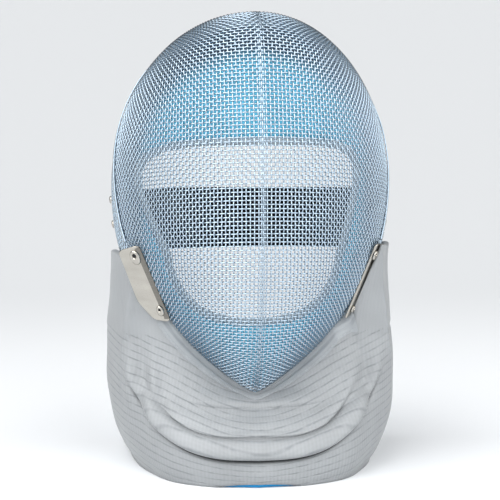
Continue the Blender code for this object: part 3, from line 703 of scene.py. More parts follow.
def painted_hole_shade():
    """Painted shade in the eyelet's shallow bore, so that it reads as a deep dark hole."""
    material, tree, shader = new_material("eyelet_bore_painted_shade", {"Metallic": 0.6, "Roughness": 0.7})
    grain = noise(tree, piece_place(tree), 2500.0)
    dress_shader(tree, shader, {"Base Color": colour_ramp(tree, grain, linear("1C1D20"), linear("3A3B3E"))})
    return material


def strip_section(width, wall):
    """A flat strip's rounded section: distance across and out."""
    half, edge = width / 2, min(wall, width) / 2
    corners = []
    for centre, start in ((half - edge, -90), (-(half - edge), 90)):
        for k in range(7):
            turn = math.radians(start + 30 * k)
            corners.append((centre + edge * math.cos(turn), wall / 2 + edge * math.sin(turn)))
    return corners


def make_strip(name, origin, rise, width, steps, material, replaces):
    """A steel strip round the dome, in the plane through origin that holds the x axis and rise."""
    rise = unit(np.array(rise, float))
    across = unit(np.cross(rise, (1.0, 0, 0)))
    turn = np.linspace(-STRIP_SWEEP, STRIP_SWEEP, steps)[:, None]
    rays = np.sin(turn) * (1.0, 0, 0) + np.cos(turn) * rise
    loops = []
    for side, out in strip_section(width, STRIP_WALL):
        start = np.array(origin) + across * side
        loops.append(to_dome(start, rays, np.full(steps, GAP + out)))
    loops = np.stack(loops, 1)
    faces = ring_faces(steps, loops.shape[1])
    return add_piece(name, loops, faces, [material], (replaces,), sharp=60)


class MASK_OT_strips(Operator):
    """Bend the steel strips over the joint of the meshes and round the back edge"""

    bl_idname = "mask.strips"
    bl_label = "Steel Strips"

    def execute(self, context):
        steel = polished_steel("stainless_steel_rolled_strip", context.scene.mask_wire.steel, (900, 60, 900))
        rim = (0, seam_y(WIDE_Z), WIDE_Z)
        make_strip("rim_steel_strip", rim, (0, SEAM_LEAN, 1), RIM_WIDTH, 150, steel, "rim_strip")
        rear = (0, rear_y(WIDE_Z) - REAR_WIDTH / 2, WIDE_Z)
        make_strip("rear_steel_strip", rear, (0, REAR_LEAN, 1), REAR_WIDTH, 150, steel, "rear_edge_strip")
        return {"FINISHED"}


def plate_axes(side, turn, out):
    """The plate's upper front corner, directions along its front edge, across it and out of it, and length."""
    top = Vector((side * BRACKET_TOP_HALF, EDGE_Y, BRACKET_TOP_Z))
    low = Vector((side * BRACKET_LOW_HALF, EDGE_Y, BRACKET_LOW_Z))
    along = (low - top).normalized()
    across = Vector((side * math.cos(turn), math.sin(turn), 0))
    face = (along.cross(across) * side).normalized()
    across = face.cross(along) * side
    return top + face * out, along, across, face, (low - top).length


def plate_outline(name, length):
    """The plate's outline, distance along its front edge and distance across."""
    corners = [(share * length + along, across) for share, along, across in PLATE_CORNERS[name]]
    outline = []
    for i, corner in enumerate(corners):
        before, after = Vector(corners[i - 1]), Vector(corners[(i + 1) % len(corners)])
        here = Vector(corner)
        start = here + (before - here).normalized() * BRACKET_CORNER
        end = here + (after - here).normalized() * BRACKET_CORNER
        for k in range(9):
            s = k / 8
            outline.append(start * (1 - s) ** 2 + here * 2 * s * (1 - s) + end * s**2)
        following = after + (here - after).normalized() * BRACKET_CORNER
        outline += [end.lerp(following, k / 10) for k in range(1, 10)]
    return outline


def make_plate(name, outline, bend, frame_axes, materials, replaces):
    """A plate with rounded edges and a bent front edge, made of rings that follow its outline inwards.

    The bent band takes the second material, which on the left plate is painted dark reflection.
    """
    corner, along, across, face = (np.array(v) for v in frame_axes)
    flat = np.array([tuple(v) for v in outline])
    front = flat[:, 1].min()
    before, after = np.roll(flat, 1, 0), np.roll(flat, -1, 0)
    edge = unit(after - before)
    inwards = np.stack([-edge[:, 1], edge[:, 0]], 1)
    centre = flat.mean(0)
    inwards *= np.sign(((centre - flat) * inwards).sum(1, keepdims=True))
    turns = [math.pi / 2 * k / 4 for k in range(5)]
    rounding = [(PLATE_BEVEL * (1 - math.cos(t)), PLATE_BEVEL * (1 - math.sin(t))) for t in turns]
    profile = [(inset, BRACKET_WALL - drop) for inset, drop in rounding]
    profile = [(inset, BRACKET_WALL - height) for inset, height in reversed(profile)] + profile
    # The rings inside the edge draw together on the plate's middle line.
    low, high = np.quantile(flat[:, 0], (0.25, 0.75))
    core = np.stack([np.clip(flat[:, 0], low, high), np.full(len(flat), centre[1])], 1)
    profile = (
        [(PLATE_BEVEL, 0.0, share) for share in np.linspace(0.8, 0.1, 8)]
        + [(inset, height, 0.0) for inset, height in profile]
        + [(PLATE_BEVEL, BRACKET_WALL, share) for share in np.linspace(0.1, 0.8, 8)]
    )
    loops = []
    for inset, height, share in profile:
        line = flat + inwards * inset
        line = line + (core - line) * share
        drop = bend[1] * (1 - ease((line[:, 1:] - front) / bend[0])) ** 1.4
        loops.append(corner + line[:, :1] * along + line[:, 1:] * across + (height - drop) * face)
    loops = np.array(loops)
    faces = ring_faces(len(loops), len(flat))
    on_front = flat[:, 1] < front + PLATE_FRONT
    wide = [share * (centre[1] - front) for _, _, share in profile]
    marks = [0] * len(faces)
    for n, around in enumerate(faces[:-2]):
        rows = [point // len(flat) for point in around]
        if all(on_front[point % len(flat)] for point in around) and max(wide[row] for row in rows) < bend[0]:
            marks[n] = 1
    return add_piece(name, loops, faces, materials, (replaces,), marks=marks, sharp=35)


def make_turned(name, profile, base, face, steps, materials, replaces, dark_under=0.0, lean=0.0):
    """A solid turned about the line through base that points along face. profile is (radius, height).

    lean moves the widest ring away from the narrowest one, and draws it out into an oval that way.
    """
    face = unit(np.array(face))
    side = unit(np.cross(face, (0.0, 0.0, 1.0)))
    up = np.cross(side, face)
    turn = np.arange(steps) * 2 * math.pi / steps
    spokes = np.cos(turn)[:, None] * side + np.sin(turn)[:, None] * up
    widest = max(radius for radius, _ in profile)
    narrow = dark_under or widest
    lean = np.zeros(3) + lean
    length = np.linalg.norm(lean)
    longer = (spokes @ lean)[:, None] * lean / max(length, 1e-9) ** 2
    rings = []
    for radius, height in profile:
        share = np.clip((radius - narrow) / max(widest - narrow, 1e-6), 0, 1)
        rings.append(np.array(base) + (spokes + 0.45 * share * longer) * radius + face * height + lean * share)
    rings = np.array(rings)
    faces = ring_faces(len(profile), steps)
    marks = [0] * len(faces)
    if dark_under:
        for n, around in enumerate(faces):
            radii = [profile[point // steps][0] for point in around]
            if max(radii) <= dark_under:
                marks[n] = 1
    return add_piece(name, rings, faces, materials, (replaces,), marks=marks, sharp=50)


def eyelet_profile(outer, hole):
    """A rolled eyelet from its foot round its lip and down into its bore."""
    points = [(outer, 0.0), (outer, EYELET_HEIGHT * 0.30)]
    middle, half = (outer + hole) / 2, (outer - hole) / 2
    for k in range(9):
        turn = math.pi * k / 8
        rise = EYELET_HEIGHT * (0.30 + 0.70 * math.sin(turn) ** 0.8)
        points.append((middle + half * math.cos(turn), rise))
    points += [(hole * 0.97, EYELET_HEIGHT * 0.12), (hole * 0.5, EYELET_HEIGHT * 0.08)]
    return points


class MASK_OT_brackets(Operator):
    """Make the two ear brackets with their eyelets, and the rivets on the sides of the rear mesh"""

    bl_idname = "mask.brackets"
    bl_label = "Brackets and Rivets"

    def execute(self, context):
        plate = context.scene.mask_wire.plate
        steel = polished_steel("stainless_steel_polished_plate", plate, (50, 50, 130))
        # The left plate's bent front band takes a darkened copy of the steel: painted dark reflection.
        painted_dark_reflection = polished_steel("stainless_steel_painted_dark_reflection", shade(plate, 0.42), (90, 90, 700))
        bore = painted_hole_shade()
        for name, side, turn, out, radius in BRACKETS:
            corner, along, across, face, length = plate_axes(side, math.radians(turn), out)
            axes = (corner, along, across, face)
            outline = plate_outline(name, length)
            steels = [steel, painted_dark_reflection if name == "left" else steel]
            make_plate("bracket_plate_" + name, outline, PLATE_BENDS[name], axes, steels, "bracket_" + name)
            lower = radius * EYELET_LOW_SHARE
            nodes = (
                ("upper", "bracket_eyelet_", radius, EYELET_HOLE),
                ("lower", "bracket_rivet_", lower, RIVET_HOLE),
            )
            for (label, node, outer, hole), (share, down, sideways) in zip(nodes, EYELET_PLACES[name]):
                base = corner + along * (share * length + down) + across * sideways
                base = base + face * (BRACKET_WALL + GAP)
                # The eyelet's bore takes painted shade, so the shallow dish reads as a hole.
                make_turned(
                    f"eyelet_{label}_{name}", eyelet_profile(outer, hole), base, face, 40, [steel, bore],
                    node + name, dark_under=hole * 0.98, lean=along * EYELET_LEAN * outer / radius,
                )
        for label, side in (("left", -1), ("right", 1)):
            for name, z, y in SIDE_RIVETS:
                point = to_dome(np.array((0, y, z)), np.array((side, 0.0, 0)))
                normal = dome_normal(point)
                profile = [(SIDE_RIVET_RADIUS, 0.0)]
                for k in range(8):
                    turn = math.pi / 2 * k / 8
                    height = 0.0003 + SIDE_RIVET_HEIGHT * math.sin(turn) * 0.8
                    profile.append((SIDE_RIVET_RADIUS * math.cos(turn), height))
                make_turned(
                    f"dome_rivet_{name}_{label}", profile, point + normal * GAP, normal, 32, [steel],
                    f"side_rivet_{name}_{label}",
                )
        return {"FINISHED"}


# ---------------------------------------------------------------- the bib


def bib_top(share, right):
    """The bib's top edge on its outer face. right is true on the right side, which is worked out mirrored."""
    covered = ease_over(share, COVER_SPAN) * right
    out = BIB_WALL + GAP + EAR_STAND_OFF * ease_over(share, STAND_OFF_SPAN)
    out = out + RIGHT_SET_OUT * covered * (1 - ease_over(share, COVER_END_SPAN))
    sweep = EDGE_SWEEP * np.minimum(share / EDGE_SHARE, 1)
    rays = np.stack([np.sin(sweep), 0 * sweep, -np.cos(sweep)], -1)
    start = np.stack([0 * share, EDGE_Y + RIGHT_SET_BACK * covered, EDGE_MIDDLE_Z + 0 * share], -1)
    point = to_dome(start, rays)
    # Behind the V-shaped edge the ear runs back level, then falls.
    back = np.clip((share - EDGE_SHARE) / (1 - EDGE_SHARE), 0, 1)
    y = point[:, 1] + (EAR_BACK_Y - point[:, 1]) * back
    ear = to_dome(np.stack([0 * share, y, point[:, 2]], -1), np.array((1.0, 0, 0)))
    point = np.where((share > EDGE_SHARE)[:, None], ear, point)
    point[:, 2] -= np.where(right, EAR_DROP_RIGHT, EAR_DROP) * ease_over(share, EAR_DROP_SPAN)
    point[:, 2] -= EAR_FALL * np.maximum(0, back - EAR_FALL_START) / (1 - EAR_FALL_START)
    point[:, 2] += EAR_RISE_RIGHT * right * ease_over(share, RISE_SPAN) * (1 - ease_over(share, RISE_END_SPAN))
    normal = dome_normal(point)
    # Beside the right plate the cloth lies on the plate.
    _, side, turn, plate_out, _ = BRACKETS[1]
    *axes, length = plate_axes(side, math.radians(turn), plate_out)
    corner, along, across, face = (np.array(v) for v in axes)
    gone = np.clip((corner[2] - point[:, 2]) / -along[2], -0.002, length)[:, None]
    resting = corner + along * gone + across * RIGHT_COVER + face * (BRACKET_WALL + BIB_WALL)
    lies = (ease_over(share, LIE_SPAN) * (1 - ease_over(share, LIE_END_SPAN)) * right)[:, None]
    point = point + (resting - normal * out[:, None] - point) * lies
    return point, normal, out


def bib_lines(share, right):
    """The four control points of each column's curve from the top edge to the hem."""
    point, normal, out = bib_top(share, right)
    top = point + normal * out[:, None]
    x, y, drop, hem_x, hem_y, rise = (read_table(DRAPE, column, share) for column in range(1, 7))
    flare = RIGHT_FLARE * ease_over(share, FLARE_SPAN) * (1 - ease_over(share, FLARE_END_SPAN)) * right
    hem = np.stack([read_table(HEM, 1, share) + flare, read_table(HEM, 2, share), 0 * share + HEM_BAND], -1)
    hem[:, 2] += LINING_SHOW * np.maximum(0, 1 - (hem[:, 0] / LINING_SHOW_HALF) ** 2)
    x = x - RIGHT_TUCK * ease_over(share, TUCK_SPAN) * right
    above = top + np.stack([x, y, -drop], -1)
    below = hem + np.stack([hem_x + flare, hem_y, rise], -1)
    return np.stack([top, above, below, hem], 1)


def on_lines(lines, down):
    """Points of the columns' curves. down has one row of shares for each column."""
    t = down[..., None]
    top, above, below, hem = (lines[:, None, k] for k in range(4))
    return top * (1 - t) ** 3 + above * 3 * (1 - t) ** 2 * t + below * 3 * (1 - t) * t**2 + hem * t**3


def bib_smooth(share, right, down):
    """The bib without its folds: points on its outer face and normals."""
    step = 0.004
    here = bib_lines(share, right)
    points = on_lines(here, down)
    after = on_lines(bib_lines(np.minimum(share + step, 1), right), down)
    before = on_lines(bib_lines(np.abs(share - step), right), down)
    before[share < step, :, 0] *= -1
    sideways = after - before
    t = down[..., None]
    legs = np.diff(here, axis=1)
    downwards = legs[:, None, 0] * (1 - t) ** 2 + legs[:, None, 1] * 2 * t * (1 - t) + legs[:, None, 2] * t**2
    downwards = unit(downwards)
    downwards[down > 0.996] = (0, 0, -1.0)
    return points, unit(np.cross(downwards, sideways)), downwards


def to_side(points, right):
    """Points of columns worked out on the right side, mirrored for the columns of the left side."""
    moved = points.copy()
    moved[..., 0] *= np.where(right, 1.0, -1.0).reshape(-1, *(1,) * (points.ndim - 2))
    return moved


def fold_rise(fold, points, right):
    """Height of points above the line of a fold."""
    rise = np.where(right, fold.right_rise, fold.left_rise)
    return points[..., 2] - fold.middle_z - rise * (np.abs(points[..., 0]) / fold.reach) ** fold.power


def fold_fade(fold, points):
    """How much of a fold is left as it runs out to the sides."""
    return 1 - ease((np.abs(points[..., 0]) - fold.fade_start) / (fold.fade_end - fold.fade_start))


def fold_moves(points, right):
    """How far the folds push the bib's face out, and slide it down over the crease."""
    out = np.zeros(points.shape[:-1])
    slide = np.zeros(points.shape[:-1])
    for fold in FOLDS:
        rise = fold_rise(fold, points, right)
        fade = fold_fade(fold, points)
        lifted = np.clip(rise / fold.roll_length, 0, 1)
        out += np.where(rise > 0, fold.roll_height * fade * np.sin(math.pi * lifted**0.50), 0)
        hollow = np.where(rise > 0, HOLLOW_ABOVE, fold.hollow_length)
        out -= fold.hollow_depth * fade * np.exp(-((rise / hollow) ** 2))
        slide += fold.overhang * fade * np.exp(-(((rise - OVERHANG_RISE) / OVERHANG_LENGTH) ** 2))
    return out, slide


def painted_crease_shade(points, right):
    """How much painted shade darkens the creases under the folds, from 0 to 1, standing in for the shadow under
    each fold's lip.
    """
    painted_shade = np.zeros(points.shape[:-1])
    for fold, most in zip(FOLDS, FOLD_PAINTED_SHADE):
        fade = fold_fade(fold, points)
        length = PAINTED_SHADE_LENGTH + PAINTED_SHADE_SPREAD * ease_over(np.abs(points[..., 0]), PAINTED_SHADE_SPAN)
        above = fold_rise(fold, points, right) + PAINTED_SHADE_DROP + PAINTED_SHADE_OVERHANG * fold.overhang * fade
        painted_shade += most * fade * np.exp(-((above / length) ** 2))
    return np.clip(painted_shade, 0, 1)


def soft_waves(points):
    """Shallow slack in the cloth, so that no panel is perfectly smooth."""
    x, y, z = points[..., 0], points[..., 1], points[..., 2]
    waves = np.sin(61 * x + 93 * z + 1.3) * np.sin(47 * z - 71 * y + 0.4)
    waves += 0.6 * np.sin(140 * x - 95 * z + 2.2) * np.sin(120 * y + 60 * z)
    height = 0.00045 * waves
    for across, up, half, tall, rise in CREASES:
        height += rise * np.exp(-(((x - across) / half) ** 2) - ((z - up) / tall) ** 2)
    return height


def bib_rows(share, right, counts):
    """Where the rows of each column lie, drawn together at the trim's edge and at the folds."""
    fine = np.linspace(0, 1, 400)[None, :].repeat(len(share), 0)
    smooth, _, _ = bib_smooth(share, right, fine)
    placed = to_side(smooth, right)
    start = placed[:, 0]
    along = unit(np.gradient(start, axis=0))
    gone = np.linalg.norm(np.cross(placed - start[:, None], along[:, None]), axis=-1)
    trimmed = fine[0][(gone < TRIM_WIDTH).cumprod(1).sum(1).astype(int).clip(0, 399)]
    stops = [np.zeros(len(share)), np.minimum(trimmed, TRIM_LEAST_SHARE)]
    for fold in FOLDS:
        above = (fold_rise(fold, smooth, right[:, None]) > 0).cumprod(1).sum(1).clip(0, 399)
        stops.append(np.maximum(np.maximum(fine[0][above], fold.least_share), stops[-1] + FOLD_SPACING))
    stops.append(np.ones(len(share)))
    rows = [stops[0][:, None]]
    for k, count in enumerate(counts):
        t = np.arange(1, count + 1) / count
        # The rows are partly even, and partly drawn together at both stops.
        t = ROWS_EVEN * t + (1 - ROWS_EVEN) * (1 - np.cos(math.pi * t)) / 2
        rows.append(stops[k][:, None] + (stops[k + 1] - stops[k])[:, None] * t[None, :])
    return np.concatenate(rows, 1)


def bib_columns(count, reach=1.0):
    """Shares and sides of the columns from the left end to the right end."""
    order = np.arange(-count, count + 1)
    return np.abs(order) / count * reach, order >= 0


def bib_face(share, right, down, out=0.0, folded=True):
    """Points on the bib's face, out from it, in the model's frame."""
    points, normals, downwards = bib_smooth(share, right, down)
    if folded:
        height, slide = fold_moves(points, right[:, None])
        above_seam = ease((points[..., 2] - EAR_SEAM_Z) / SEAM_STEP)
        seam = np.exp(-(((points[..., 2] - EAR_SEAM_Z) / SEAM_HALF) ** 2))
        height = height + (SEAM_RAISE * above_seam - SEAM_DEPTH * seam) * ease_over(share, SEAM_SPAN)[:, None]
        quiet = ease_over(down, WAVES_SPAN) * (1 - ease_over(down, WAVES_END_SPAN))
        height = height + soft_waves(to_side(points, right)) * quiet
        thinning = (BIB_WALL - EDGE_WALL) * (1 - ease(down / EDGE_THINNING))
        # Only what lies outside the cloth's middle sinks towards the thin edge.
        if np.max(out) > -BIB_WALL / 2:
            height = height - thinning * (1 - ease_over(share, THIN_END_SPAN))[:, None]
        points = points + normals * height[..., None] + downwards * slide[..., None]
    points = points + normals * (np.asarray(out)[..., None] if np.ndim(out) else out)
    return to_side(points, right)


def ear_fill(share, right, down):
    """How much thicker the bib's rolled ear is at its top, where it lies on the wire."""
    out = bib_top(share, right)[2]
    at_ear = ease_over(share, FILL_SPAN) * np.where(right, ease_over(share, RIGHT_FILL_SPAN), 1.0)
    thicker = np.maximum(out - BIB_WALL - EAR_CLEAR, 0)[:, None] * at_ear[:, None]
    return thicker * (1 - ease(down / EAR_FILL_DOWN))


def rib_count(points):
    """Distance round the bib, and how many ribs up a point lies.

    The ribs sag and crowd towards the middle.
    """
    round_it = RIB_ROUND * np.arctan2(points[..., 0], RIB_CENTRE_Y - points[..., 1])
    pitch = RIB_MIDDLE + (RIB_SIDE - RIB_MIDDLE) * ease(np.abs(round_it) / RIB_SPREAD)
    sag = RIB_SAG * (np.sqrt(points[..., 0] ** 2 + RIB_SAG_ROUND**2) - RIB_SAG_ROUND)
    return round_it, (points[..., 2] - RIB_START_Z - sag) / pitch


def cloth_uv(share, right, down):
    """The distance round the bib and the count of ribs at each of its points."""
    return np.stack(rib_count(to_side(bib_smooth(share, right, down)[0], right)), -1)


def conductive_cloth(settings, ribbed):
    """Silver-grey conductive cloth, woven with metal thread: a dry grey sheen, fine upright threads and ribs
    that run round it, with painted shade as a thin dark line in each rib's groove."""
    kind = "ribbed" if ribbed else "plain"
    material, tree, shader = new_material(
        f"conductive_lame_{kind}_weave",
        {"Metallic": 0.25, "Roughness": 0.62, "Sheen Weight": 0.15, "Sheen Roughness": 0.4},
    )
    place = piece_place(tree)
    mottle, cloud, wander = (
        noise(tree, place, scale, detail) for scale, detail in ((160.0, 3.0), (28.0, 2.0), (40.0, 2.0))
    )
    parts = add_node(tree, "SeparateXYZ", (), {"Vector": piece_place(tree, "UV")})
    # V counts the ribs, which wander by a quarter of their spacing.
    drift = work_out(tree, "MULTIPLY_ADD", wander, 0.28, (parts, "Y"))
    fold = work_out(tree, "PINGPONG", work_out(tree, "FRACT", drift), 0.5)
    # The dark line along each rib's groove is painted shade.
    line = map_range(tree, fold, 1.0, 0.0, 0.0, settings.rib_line, "SMOOTHSTEP")
    rib = work_out(tree, "MULTIPLY", line, map_range(tree, mottle, 0.25, 1.0, 0.36, 0.60))
    # Upright threads, drawn 2.3 mm apart, which is as fine as the picture shows, and four cross threads a rib.
    threads = ripple(tree, (parts, "X"), settings.thread_pitch)
    picks = ripple(tree, (parts, "Y"), 0.25)
    weave = work_out(tree, "MULTIPLY_ADD", picks, 0.5, threads)
    ground = colour_ramp(tree, cloud, shade(settings.bib, 0.90), settings.bib, (0.3, 0.7))
    tones = (0.95, 1.02) if ribbed else (0.98, 1.0)
    # Painted shade darkens the creases under the folds.
    painted_shade = add_node(tree, "Attribute", {"attribute_name": "painted_shade"})
    unshaded = map_range(tree, (painted_shade, "Fac"), 1.0, 0.22)
    bright = work_out(tree, "MULTIPLY", map_range(tree, weave, *tones, -1.5, 1.5), unshaded)
    tone = add_node(tree, "VectorMath", {"operation": "SCALE"}, {0: ground, "Scale": bright}), "Vector"
    # Painted shade: the rib grooves' dark line is mixed into the colour.
    if ribbed:
        strength = work_out(tree, "MULTIPLY", rib, 0.55)
        dark = (*settings.painted_rib_groove_shade, 1)
        tone = add_node(tree, "MixRGB", {"Color2": dark}, {"Fac": strength, "Color1": tone}), "Color"
    depth = work_out(tree, "MULTIPLY_ADD", rib, -1.0 if ribbed else 0.0, mottle)
    height = work_out(tree, "MULTIPLY_ADD", weave, 0.12, depth)
    dress_shader(tree, shader, {"Base Color": tone}, (height, 0.55, 0.0006))
    return material


def sheet_loops(outer, inner, rounding):
    """Closed loops round each column of a thick sheet, with a rounded edge at its top."""
    top = (outer[:, :1] + inner[:, :1]) / 2
    up = unit(outer[:, :1] - outer[:, 1:2]) * rounding * 0.8
    before = (outer[:, :1] + top) / 2 + up
    after = (inner[:, :1] + top) / 2 + up
    return np.concatenate([before, outer, inner[:, ::-1], after], 1)


def add_hem(points, z):
    """The rows of a sheet with one more below them, at the height z."""
    hem = points[:, -1:].copy()
    hem[..., 2] = z
    return np.concatenate([points, hem], 1)


def round_sheet(outer, inner):
    """Values for the points of a sheet's loops, from those of its two faces."""
    return np.concatenate([outer[:, :1], outer, inner[:, ::-1], outer[:, :1]], 1)


class MASK_OT_bib(Operator):
    """Hang the bib from the V-shaped edge, with its folds and ear panels"""

    bl_idname = "mask.bib"
    bl_label = "Bib"

    def execute(self, context):
        settings = context.scene.mask_cloth
        share, right = bib_columns(124)
        down = bib_rows(share, right, (8, 26, 30, 34, 30))
        outer = bib_face(share, right, down)
        low = np.maximum(outer[:, -1:, 2] - HEM_BAND, GAP)
        inner = bib_face(share, right, down, -BIB_WALL - ear_fill(share, right, down))
        loops = sheet_loops(add_hem(outer, low), add_hem(inner, low), EDGE_ROUNDING)
        uv = cloth_uv(share, right, down)
        uv = np.concatenate([uv, uv[:, -1:] - (0, 0.4)], 1)
        # The creases under the folds get painted shade.
        painted_shade = painted_crease_shade(bib_smooth(share, right, down)[0], right[:, None])
        painted_shade = np.concatenate([painted_shade, 0 * painted_shade[:, -1:]], 1)
        faces = sleeve(loops)
        # The ears are cut from the cloth without ribs.
        plain = loops[..., 2].reshape(-1) > EAR_SEAM_Z
        bib = add_piece(
            "bib_cloth", loops, faces, [conductive_cloth(settings, ribbed) for ribbed in (True, False)],
            ("bib_outer",), uv=round_sheet(uv, uv),
            marks=[int(plain[face].all()) for face in faces], painted_shade=round_sheet(painted_shade, 0 * painted_shade),
        )
        return {"FINISHED"}


def woven_cloth(name, colour, dark_share, pitch, roughness, sheen):
    """Plain woven polyester or cotton: a matt ground with a fine over-and-under grain."""
    settings = {"Roughness": roughness, "Sheen Weight": sheen, "Sheen Roughness": 0.5}
    material, tree, shader = new_material(name, {**settings, "Specular IOR Level": 0.3})
    place = piece_place(tree)
    parts = add_node(tree, "SeparateXYZ", (), {"Vector": place})
    x, y, z = (ripple(tree, (parts, axis), pitch) for axis in "XYZ")
    grain = work_out(tree, "MULTIPLY", work_out(tree, "ADD", x, y), z)
    mixed = work_out(tree, "MULTIPLY_ADD", grain, 0.12, noise(tree, place, 90.0, 4.0))
    tone = colour_ramp(tree, mixed, shade(colour, dark_share), colour, (0.3, 0.7))
    dress_shader(tree, shader, {"Base Color": tone}, (mixed, 0.5, 0.0003))
    return material


class MASK_OT_trim(Operator):
    """Roll the edge tape over the bib's V-shaped edge and stitch it down"""

    bl_idname = "mask.trim"
    bl_label = "Edge Trim"

    def execute(self, context):
        settings = context.scene.mask_cloth
        share, right = bib_columns(84, TRIM_SHARE_END)
        stops = bib_rows(share, right, (1, 1, 1, 1, 1))[:, 1]
        downs = stops[:, None] * np.linspace(1, 0, 9)[None, :]
        over = bib_face(share, right, downs, TRIM_WALL)
        under = bib_face(share, right, downs, TRIM_CLEAR)
        foot, normal, out = bib_top(share, right)
        foot = to_side(foot, right)
        normal = to_side(normal, right)
        upwards = unit(over[:, -1] - over[:, -2])
        middle = foot + normal * (out - BIB_WALL + EDGE_WALL / 2)[:, None]
        # The tape rolls over the edge, in rings of points on its outside and then on its inside.
        turns = [math.radians(a) for a in (22, 45, 68, 90, 110)]
        outside, inside = (
            np.stack([middle + normal * r * math.cos(a) + upwards * r * math.sin(a) for a in turns], 1)
            for r in (EDGE_WALL / 2 + TRIM_WALL, EDGE_WALL / 2 + TRIM_CLEAR)
        )
        ends = [(foot - normal * d + upwards * r)[:, None] for d, r in ((0.0004, 0.0008), (0.0001, 0.0003))]
        loops = np.concatenate([over, outside, *ends, inside[:, ::-1], under[:, ::-1]], 1)
        tape = woven_cloth("woven_edge_tape", settings.trim, 0.86, 0.0009, 0.8, 0.2)
        trim = add_piece("bib_edge_tape", loops, sleeve(loops), [tape], ("bib_trim",), sharp=70)
        thread = woven_cloth("polyester_sewing_thread", settings.thread, 0.8, 0.0004, 0.7, 0.0)
        seam = bib_face(share, right, stops[:, None] * 0.80, TRIM_WALL + 0.00008)[:, 0]
        facing = unit(np.cross(np.gradient(seam, axis=0), upwards))
        stitches = stitch_line("bib_edge_stitches", seam, facing, STITCH_PITCH, STITCH_LONG, thread)
        return {"FINISHED"}


def stitch_line(name, line, facing, pitch, long, thread):
    """A row of short stitches along a line."""
    gone = length_travelled(line)
    facing = facing * np.sign((facing * (line - HEART)).sum(1, keepdims=True))
    points, faces = [], []
    for start in np.arange(pitch / 2, gone[-1] - pitch, pitch):
        at = start + long * np.linspace(0, 1, len(STITCH_HEIGHTS))
        path, up = (np.stack([np.interp(at, gone, v[:, k]) for k in range(3)], 1) for v in (line, facing))
        up = unit(up)
        path = path + up * np.array(STITCH_HEIGHTS)[:, None]
        rings = tube_rings(path, up, THREAD_RADIUS, THREAD_SIDES)
        faces += ring_faces(len(path), THREAD_SIDES, len(points) * len(path) * THREAD_SIDES)
        points.append(rings.reshape(-1, 3))
    return add_piece(name, np.concatenate(points), faces, [thread])


class MASK_OT_lining(Operator):
    """Hang the blue lining inside the bib"""

    bl_idname = "mask.lining"
    bl_label = "Lining"

    def execute(self, context):
        settings = context.scene.mask_cloth
        share, right = bib_columns(70)
        down = bib_rows(share, right, (2, 6, 8, 10, 8))[:, 4:]
        # The lining stands clear of the deep crease, where the outer cloth comes furthest in.
        crease = fold_rise(FOLDS[2], bib_face(share, right, down, folded=False), right[:, None])
        slack = LINING_SLACK + CREASE_SLACK * np.exp(-((crease / CREASE_REACH) ** 2))
        slack = slack * ease((1 - down) / LINING_CLOSING)
        outer, inner = (
            add_hem(bib_face(share, right, down, -depth - slack, folded=False), GAP)
            for depth in (BIB_WALL + 2 * GAP, BIB_WALL + 2 * GAP + LINING_WALL)
        )
        loops = sheet_loops(outer, inner, LINING_ROUNDING)
        cloth = woven_cloth("blue_nylon_lining_weave", settings.lining, 0.8, 0.0010, 0.7, 0.3)
        lining = add_piece(
            "bib_lining_cloth", loops, sleeve(loops), [cloth], ("bib_lining",), sharp=60
        )
        return {"FINISHED"}


# ---------------------------------------------------------------- the padding, binding and strap


def in_opening(side, rise):
    """Whether points of the padding's face, counted from the opening's middle, lie in the face opening."""
    left, above = side < 0, rise > 0
    power = np.where(above, np.where(left, OPENING_LEFT_SQUARE, OPENING_SQUARE_UP), OPENING_SQUARE_DOWN)
    tall = np.where(above, OPENING_UP, OPENING_DOWN)
    half = np.where(left, OPENING_LEFT_HALF, OPENING_HALF)
    half = half + np.where(left, OPENING_LEFT_TAPER, OPENING_TAPER) * np.maximum(rise, TAPER_END)
    return np.abs(side / half) ** power + np.abs(rise / tall) ** power < 1


def opening_reach(way):
    """How far the edge of the face opening lies from its middle, in directions counted from straight up."""
    near, far = np.zeros(len(way)), np.full(len(way), 0.15)
    return last_inside(lambda reach: in_opening(reach * np.sin(way), reach * np.cos(way)), near, far, 34)


def pad_point(way, reach, back):
    """Points of the padding's curved face, a reach from the opening's middle and moved back."""
    side = reach * np.sin(way)
    return np.stack([side, -PAD_REACH + PAD_CURVE * side**2 + back, PAD_MIDDLE_Z + reach * np.cos(way)], -1)


def pad_reach(way, back):
    """How far the padding reaches from the opening's middle, at a distance behind its middle face."""
    room = 1.2 * (MESH_WALL + INNER_GAP)
    tall = np.where(np.cos(way) > 0, PAD_TOP, PAD_BOTTOM)
    far = ((np.abs(np.sin(way)) / PAD_SIDE) ** 2 + (np.abs(np.cos(way)) / tall) ** 2) ** -0.5

    def fits(reach):
        point = pad_point(way, reach, back)
        around = [point + shift * axis for axis in np.eye(3) for shift in (room, -room)]
        return np.all([dome_level(near_point) < 1 for near_point in around], axis=0)

    return last_inside(fits, np.full(len(way), 0.02), far, 30)


